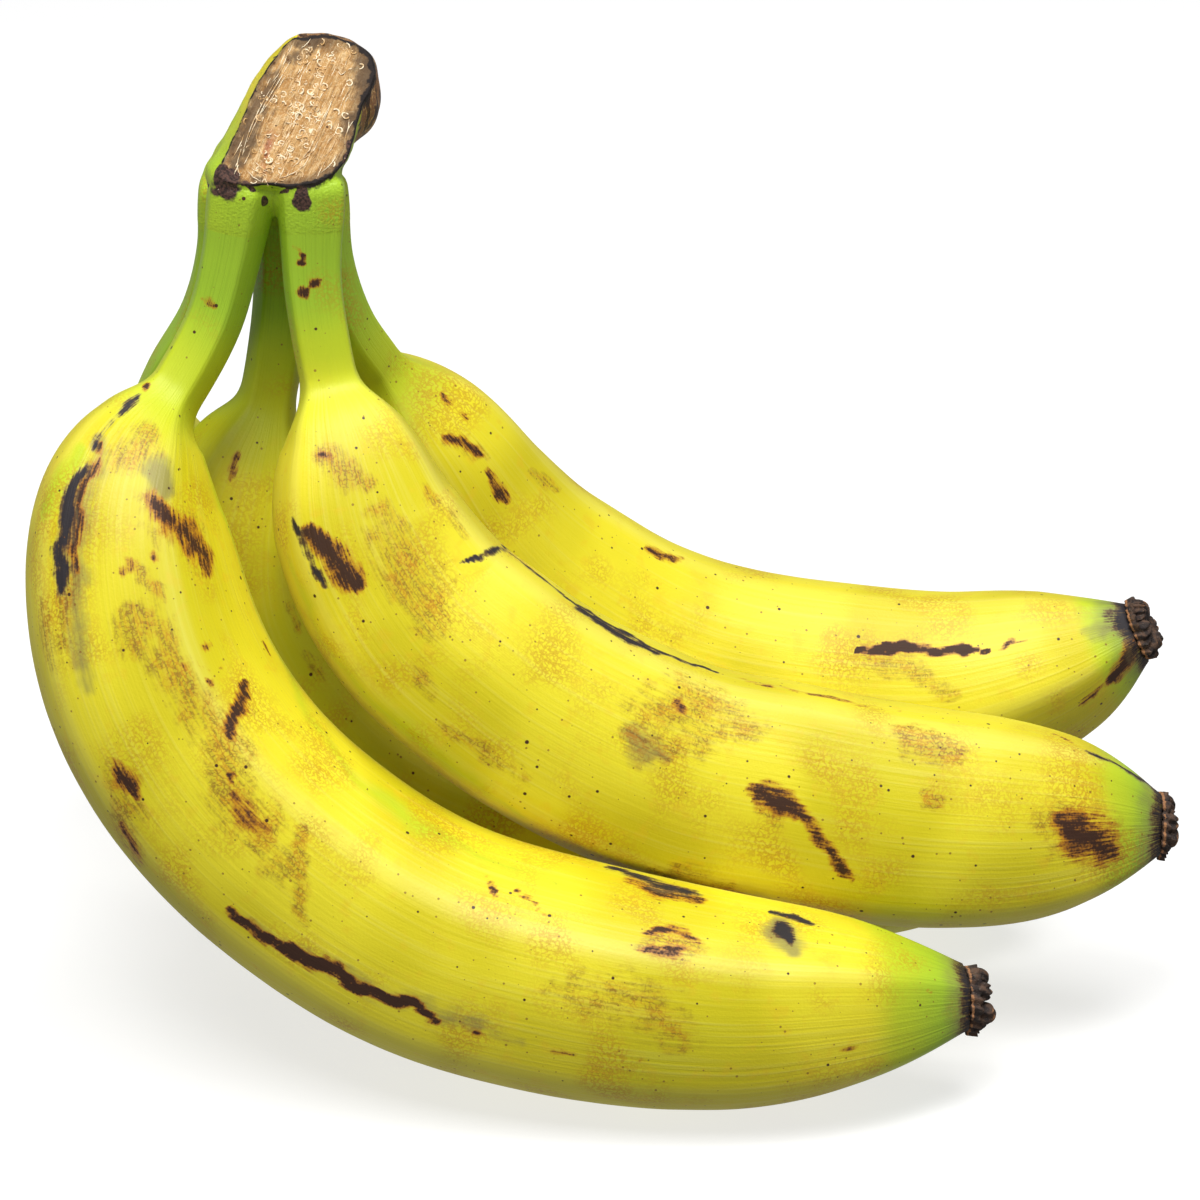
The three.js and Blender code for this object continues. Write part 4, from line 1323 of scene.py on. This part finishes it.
# Scatters little curled fibres on a patch, flat on it and turned at random
def curlTree(fibre):
    sizes = {"Density": 1.0, "Smallest": 0.3, "Largest": 0.8, "Thickness": 0.1, "Seed": 1}
    tree, given = newTree("scatterCurls", sizes)
    profile = addNode(tree, "GeometryNodeCurvePrimitiveCircle",
                      {"Resolution": 5, "Radius": given["Thickness"]})
    gather = tree.nodes.new("GeometryNodeGeometryToInstance")
    for sweep in (5.6, 4.2, 2.9, 1.7, 0.9):
        arc = addNode(tree, "GeometryNodeCurveArc",
                      {"Resolution": 12, "Radius": 1.0, "Sweep Angle": sweep})
        tube = addNode(tree, "GeometryNodeCurveToMesh",
                       {"Curve": arc, "Profile Curve": profile, "Fill Caps": True})
        tree.links.new(tube, gather.inputs[0])
    scatter = tree.nodes.new("GeometryNodeDistributePointsOnFaces")
    tree.links.new(given["Geometry"], scatter.inputs["Mesh"])
    tree.links.new(given["Seed"], scatter.inputs["Seed"])
    here = addNode(tree, "GeometryNodeInputNamedAttribute", {"Name": "fibreMap"}, data_type="FLOAT")
    crowd = addNode(tree, "ShaderNodeMath", {0: here, 1: given["Density"]}, operation="MULTIPLY")
    tree.links.new(crowd, scatter.inputs["Density"])
    turn = addNode(tree, "FunctionNodeRandomValue", {2: 0.0, 3: 2 * math.pi, "Seed": given["Seed"]}, out=1)
    turn = addNode(tree, "ShaderNodeCombineXYZ", {2: turn})
    turn = addNode(tree, "FunctionNodeEulerToRotation", {0: turn})
    lie = addNode(tree, "FunctionNodeRotateRotation", {0: scatter.outputs["Rotation"], 1: turn},
                  rotation_space="LOCAL")
    size = addNode(tree, "FunctionNodeRandomValue",
                   {2: given["Smallest"], 3: given["Largest"], "Seed": given["Seed"]}, out=1)
    size = addNode(tree, "ShaderNodeMath", {0: size, 1: mm}, operation="MULTIPLY")
    made = addNode(tree, "GeometryNodeInstanceOnPoints",
                   {"Points": scatter.outputs["Points"], "Instance": gather.outputs[0], "Pick Instance": True,
                    "Rotation": lie, "Scale": size})
    return endTree(tree, made, fibre)


# Lays a fibre along each line, thinning towards its ends
def strandTree(fibre):
    tree, given = newTree("layStrands", {"Thickness": 0.1, "Spacing": 0.3})
    line = addNode(tree, "GeometryNodeMeshToCurve", {"Mesh": given["Geometry"]})
    line = addNode(tree, "GeometryNodeResampleCurve", {"Curve": line, "Length": given["Spacing"]},
                   mode="LENGTH")
    part = addNode(tree, "GeometryNodeSplineParameter")
    bulge = addNode(tree, "ShaderNodeMath", {0: part, 1: math.pi}, operation="MULTIPLY")
    bulge = addNode(tree, "ShaderNodeMath", {0: bulge}, operation="SINE")
    bulge = addNode(tree, "ShaderNodeMath", {0: bulge, 1: 0.7, 2: 0.3}, operation="MULTIPLY_ADD")
    profile = addNode(tree, "GeometryNodeCurvePrimitiveCircle",
                      {"Resolution": 5, "Radius": given["Thickness"]})
    line = addNode(tree, "GeometryNodeSetCurveRadius", {"Curve": line, "Radius": bulge})
    made = addNode(tree, "GeometryNodeCurveToMesh",
                   {"Curve": line, "Profile Curve": profile, "Fill Caps": True, "Scale": bulge})
    return endTree(tree, made, fibre)


# Dried plant fibre: pale cream, hair thin, with a dull silky gloss
fibreLook = {"cream": "#F8E8C6", "tan": "#CFA468", "noises": {"tone": (1.6, 3.0), "fine": (0.3, 2.0)}}


def creamFibre():
    material, tree = newMaterial("creamFibre")
    noises = noisesOn(tree, fibreLook["noises"])[1]
    shade = layered(tree, fibreLook, "cream", [(noises["tone"], "tan", 0.4, 0.62, 1.0)])
    finishMaterial(tree, noises["fine"], 0.1, 0.5, {"Base Color": shade, "Roughness": 0.5})
    return material


def makeFibres(crown, fibre):
    shape = fibreShape
    draw = np.random.default_rng(shape["seed"])
    points = vectorsOf(crown)
    face, edge = getAttribute(crown, "face"), getAttribute(crown, "edge")
    place = getAttribute(crown, "facePlace", 3)
    inside = (face > 0.9) & (edge < -0.9)
    used = [p.vertices[:] for p in crown.data.polygons if all(inside[v] for v in p.vertices)]
    kept = np.unique(np.array(used).ravel())
    number = np.full(len(points), -1)
    number[kept] = np.arange(len(kept))
    curls = newPiece("crown_curls", points[kept], [[int(number[v]) for v in f] for f in used])
    u, v = place[kept, 0], place[kept, 1]
    middle = np.exp(-((u - 0.6) / 3.4)**2)
    setAttribute(curls, "fibreMap", 0.12 + middle)
    grow(curls, curlTree(fibre), {"Density": shape["density"] / mm**2, "Smallest": shape["smallest"],
                                  "Largest": shape["largest"], "Thickness": shape["thickness"] / 0.5,
                                  "Seed": shape["seed"]})
    finishPiece(curls, ["crown"])

    tree = kdtree.KDTree(len(kept))
    for index, vertex in enumerate(kept):
        tree.insert(points[vertex], index)
    tree.balance()
    along, across = cutDirections()
    lines = [smoothLine([onCutFace(pixel) for pixel in fibreLine], 8) for fibreLine in longFibres]
    for _ in range(shape["strands"]):
        start = kept[draw.integers(len(kept))]
        long, bow = draw.uniform(2.5, 7), draw.uniform(-0.5, 0.5)
        steps = np.linspace(-0.5, 0.5, 12)
        if place[start, 0] > -2 and draw.uniform() < 0.75:
            long *= 0.35
        curve = np.outer(steps * long, along) + np.outer(steps**2 * bow * long, across)
        lines.append(points[start] / mm + curve)
    corners, edges = [], []
    for line in lines:
        first = len(corners)
        for point in line:
            found, index, gap = tree.find(Vector(point * mm))
            if gap < shape["reach"] * mm:
                depth = (np.array(found) - point * mm) @ cutNormal() - shape["lift"] * mm
                corners.append(point * mm + cutNormal() * depth)
        edges += [(k, k + 1) for k in range(first, len(corners) - 1)]
    strands = newPiece("crown_strands", corners)
    strands.data.edges.add(len(edges))
    strands.data.edges.foreach_set("vertices", np.array(edges, np.int32).ravel())
    strands.data.update()
    grow(strands, strandTree(fibre), {"Thickness": shape["strandThickness"] * mm,
                                      "Spacing": shape["spacing"] * mm})
    finishPiece(strands, ["crown"])
    print("fibres laid,", len(curls.data.polygons) + len(strands.data.polygons), "faces")


# The dried flowers, in millimetres: rim radius, petals' stumps and folds
flowerShape = {
    "rim": 5.2,
    "petals": 6,
    "petalAway": 3.3,
    "petalRadius": (1.5, 2.2),
    "pit": 1.6,
    "crease": 0.45,
    "foldDepth": 0.24,
    "cell": 0.2,
}

# Dried flower: crisp, matt and almost black in its folds, with tan torn rims
flowerLook = {
    "dark": "#2B211E",
    "brown": "#5D4535",
    "tan": "#A5744C",
    "grey": "#6A6258",
    "noises": {"fluff": (1.3, 3.0), "grit": (0.35, 3.0)},
}


def driedFlower():
    material, tree = newMaterial("driedFlower")
    noises = noisesOn(tree, flowerLook["noises"])[1]
    fluff, grit = noises["fluff"], noises["grit"]
    rim = fieldsOf(tree, ["rim"])["rim"]
    shade = layered(tree, flowerLook, "dark", [
        (fluff, "brown", 0.4, 0.65, 1.0),
        (grit, "grey", 0.55, 0.75, 0.6),
        (ragged(tree, rim, [(grit, 0.8), (fluff, 0.5)], 0.5, 0.85), "tan"),
    ])
    height = addNode(tree, "ShaderNodeMath", {0: grit, 1: 0.3, 2: fluff}, operation="MULTIPLY_ADD")
    finishMaterial(tree, height, 0.6, 0.8, {"Base Color": shade, "Roughness": 0.82})
    return material


# Stumps of petals round a pit, grown together
def flowerField(points, middle, directions, tall, stumps):
    away = (points - middle) @ np.array(directions).T
    out, turned = np.hypot(away[:, 1], away[:, 2]), np.arctan2(away[:, 2], away[:, 1])
    shape = flowerShape
    rim = shape["rim"] + 0.25 * np.sin(turned * 5 + 1) + 0.12 * np.sin(turned * 11)
    whole = np.maximum(out - rim - 0.12 * away[:, 0], np.maximum(-away[:, 0], away[:, 0] - tall * 0.42))
    for centre, radii in stumps:
        whole = blendMin(whole, eggField(away - centre, radii), shape["crease"])
    pit = shape["pit"] - np.linalg.norm(away - (tall * 1.05, 0.3, 0.2), axis=1)
    folds = shape["foldDepth"] * np.sin(turned * 19 + 2.5 * np.sin(out * 1.6) + away[:, 0] * 1.4)
    return np.maximum(-blendMin(-whole, -pit, 0.5) + folds * smoothstep(1.5, 4, out), -away[:, 0])


def makeFlowers(material):
    shape = flowerShape
    for name, banana in bananas.items():
        draw = np.random.default_rng(banana["seed"] + 100)
        distance, place, outward, front, length = centreLine(banana, bananaShape["Rings"])
        along = np.cross(front[-1], outward[-1])
        directions = (along / np.linalg.norm(along), outward[-1], front[-1])
        tall = banana["flower"]
        stumps = []
        for petal in range(shape["petals"]):
            turn = (petal + draw.uniform(-0.25, 0.25)) / shape["petals"] * 2 * math.pi
            away = shape["petalAway"] * draw.uniform(0.85, 1.05)
            radii = draw.uniform(*shape["petalRadius"], 3) * (min(1, tall / 3.6), 1, 1)
            out = max(0.3 * tall, tall * draw.uniform(0.85, 1.05) - radii[0])
            stumps.append((np.array((out, away * math.cos(turn), away * math.sin(turn))), radii))
        middle = place[-1] + directions[0] * 0.05

        def field(points):
            return flowerField(points, middle, directions, tall, stumps)

        points, faces = surfaceOf(field, middle - 8, middle + 8, shape["cell"])
        points = settle(points, field, 2)
        away = (points - middle) @ np.array(directions).T
        piece = newPiece(name.replace("banana", "flower"), points * mm, faces.tolist())
        piece.data.shade_smooth()
        out = np.hypot(away[:, 1], away[:, 2])
        top = smoothstep(0.55, 1, away[:, 0] / tall)
        collar = np.exp(-((away[:, 0] - 0.35) / 0.35)**2) * smoothstep(4.6, 5.2, out)
        setAttribute(piece, "rim", np.maximum(0.9 * collar, 0.75 * top * smoothstep(2, 4.5, out)))
        piece.data.materials.append(material)
        finishPiece(piece, [name.replace("banana", "dried_flower")])
    print("flowers dried")


# The room's brightness, and the lamps: place in metres, side in metres and power in watts
room = {"below": 0.34, "above": 0.17}
lamps = {
    "softboxFront": {"place": (-0.18, -0.45, 1.03), "side": 0.5, "power": 9.4},
    "softboxAbove": {"place": (0.22, -0.1, 1.1), "side": 0.5, "power": 6.0},
}


def makeStage():
    floorSide = 3.0
    floor = newPiece("floor", [(-floorSide, -floorSide, 0), (floorSide, -floorSide, 0),
                               (floorSide, floorSide, 0), (-floorSide, floorSide, 0)], [(0, 1, 2, 3)])
    # milky acrylic of a light table, which glows a little itself and throws no light up
    acrylic, tree = newMaterial("milkyAcrylic")
    shader = addNode(tree, "ShaderNodeBsdfPrincipled",
                     {"Base Color": colour("#A8A8A8"), "Roughness": 0.9, "Specular IOR Level": 0.1,
                      "Emission Color": (1, 1, 1, 1), "Emission Strength": 0.7})
    addNode(tree, "ShaderNodeOutputMaterial", {"Surface": shader})
    floor.data.materials.append(acrylic)
    floor.visible_diffuse = False
    floor.visible_glossy = False

    world = bpy.data.worlds.new("softRoom")
    world.use_nodes = True
    tree = world.node_tree
    direction = tree.nodes.new("ShaderNodeSeparateXYZ")
    tree.links.new(addNode(tree, "ShaderNodeTexCoord", out="Generated"), direction.inputs[0])
    bright = addNode(tree, "ShaderNodeMapRange",
                     {0: direction.outputs[2], 1: -0.3, 2: 0.6, 3: room["below"], 4: room["above"]})
    tree.links.new(bright, tree.nodes["Background"].inputs["Strength"])
    tree.nodes["Background"].inputs["Color"].default_value = (1, 1, 1, 1)
    bpy.context.scene.world = world
    bpy.context.scene.view_settings.view_transform = "Standard"

    for name, lamp in lamps.items():
        light = bpy.data.lights.new(name, "AREA")
        light.shape = "SQUARE"
        light.size = lamp["side"]
        light.energy = lamp["power"]
        holder = bpy.data.objects.new(name, light)
        holder.location = lamp["place"]
        aim = Vector((0, 0, 0.05)) - holder.location
        holder.rotation_euler = aim.to_track_quat("-Z", "Y").to_euler()
        bpy.context.scene.collection.objects.link(holder)


def makeCamera():
    view = pictureView
    offset = (view["lookAtPixel"][0] - view["side"] / 2) / view["pixelsPerMm"]
    target = Vector(view["lookAt"]) * mm - Vector((offset, 0, 0)) * mm
    back = Vector(viewDirections()[0])
    camera = bpy.data.cameras.new("camera")
    camera.sensor_width = view["sensor"]
    camera.lens = view["pixelsPerMm"] * view["distance"] / view["side"] * view["sensor"]
    camera.clip_start = 0.05
    holder = bpy.data.objects.new("camera", camera)
    holder.location = target + back * view["distance"] * mm
    holder.rotation_euler = (-back).to_track_quat("-Z", "Y").to_euler()
    bpy.context.scene.collection.objects.link(holder)
    bpy.context.scene.camera = holder


makeCamera()
makeStage()
makeBananas(bananaSkin())
crown = makeCrown(crownSkin())
makeFibres(crown, creamFibre())
makeFlowers(driedFlower())
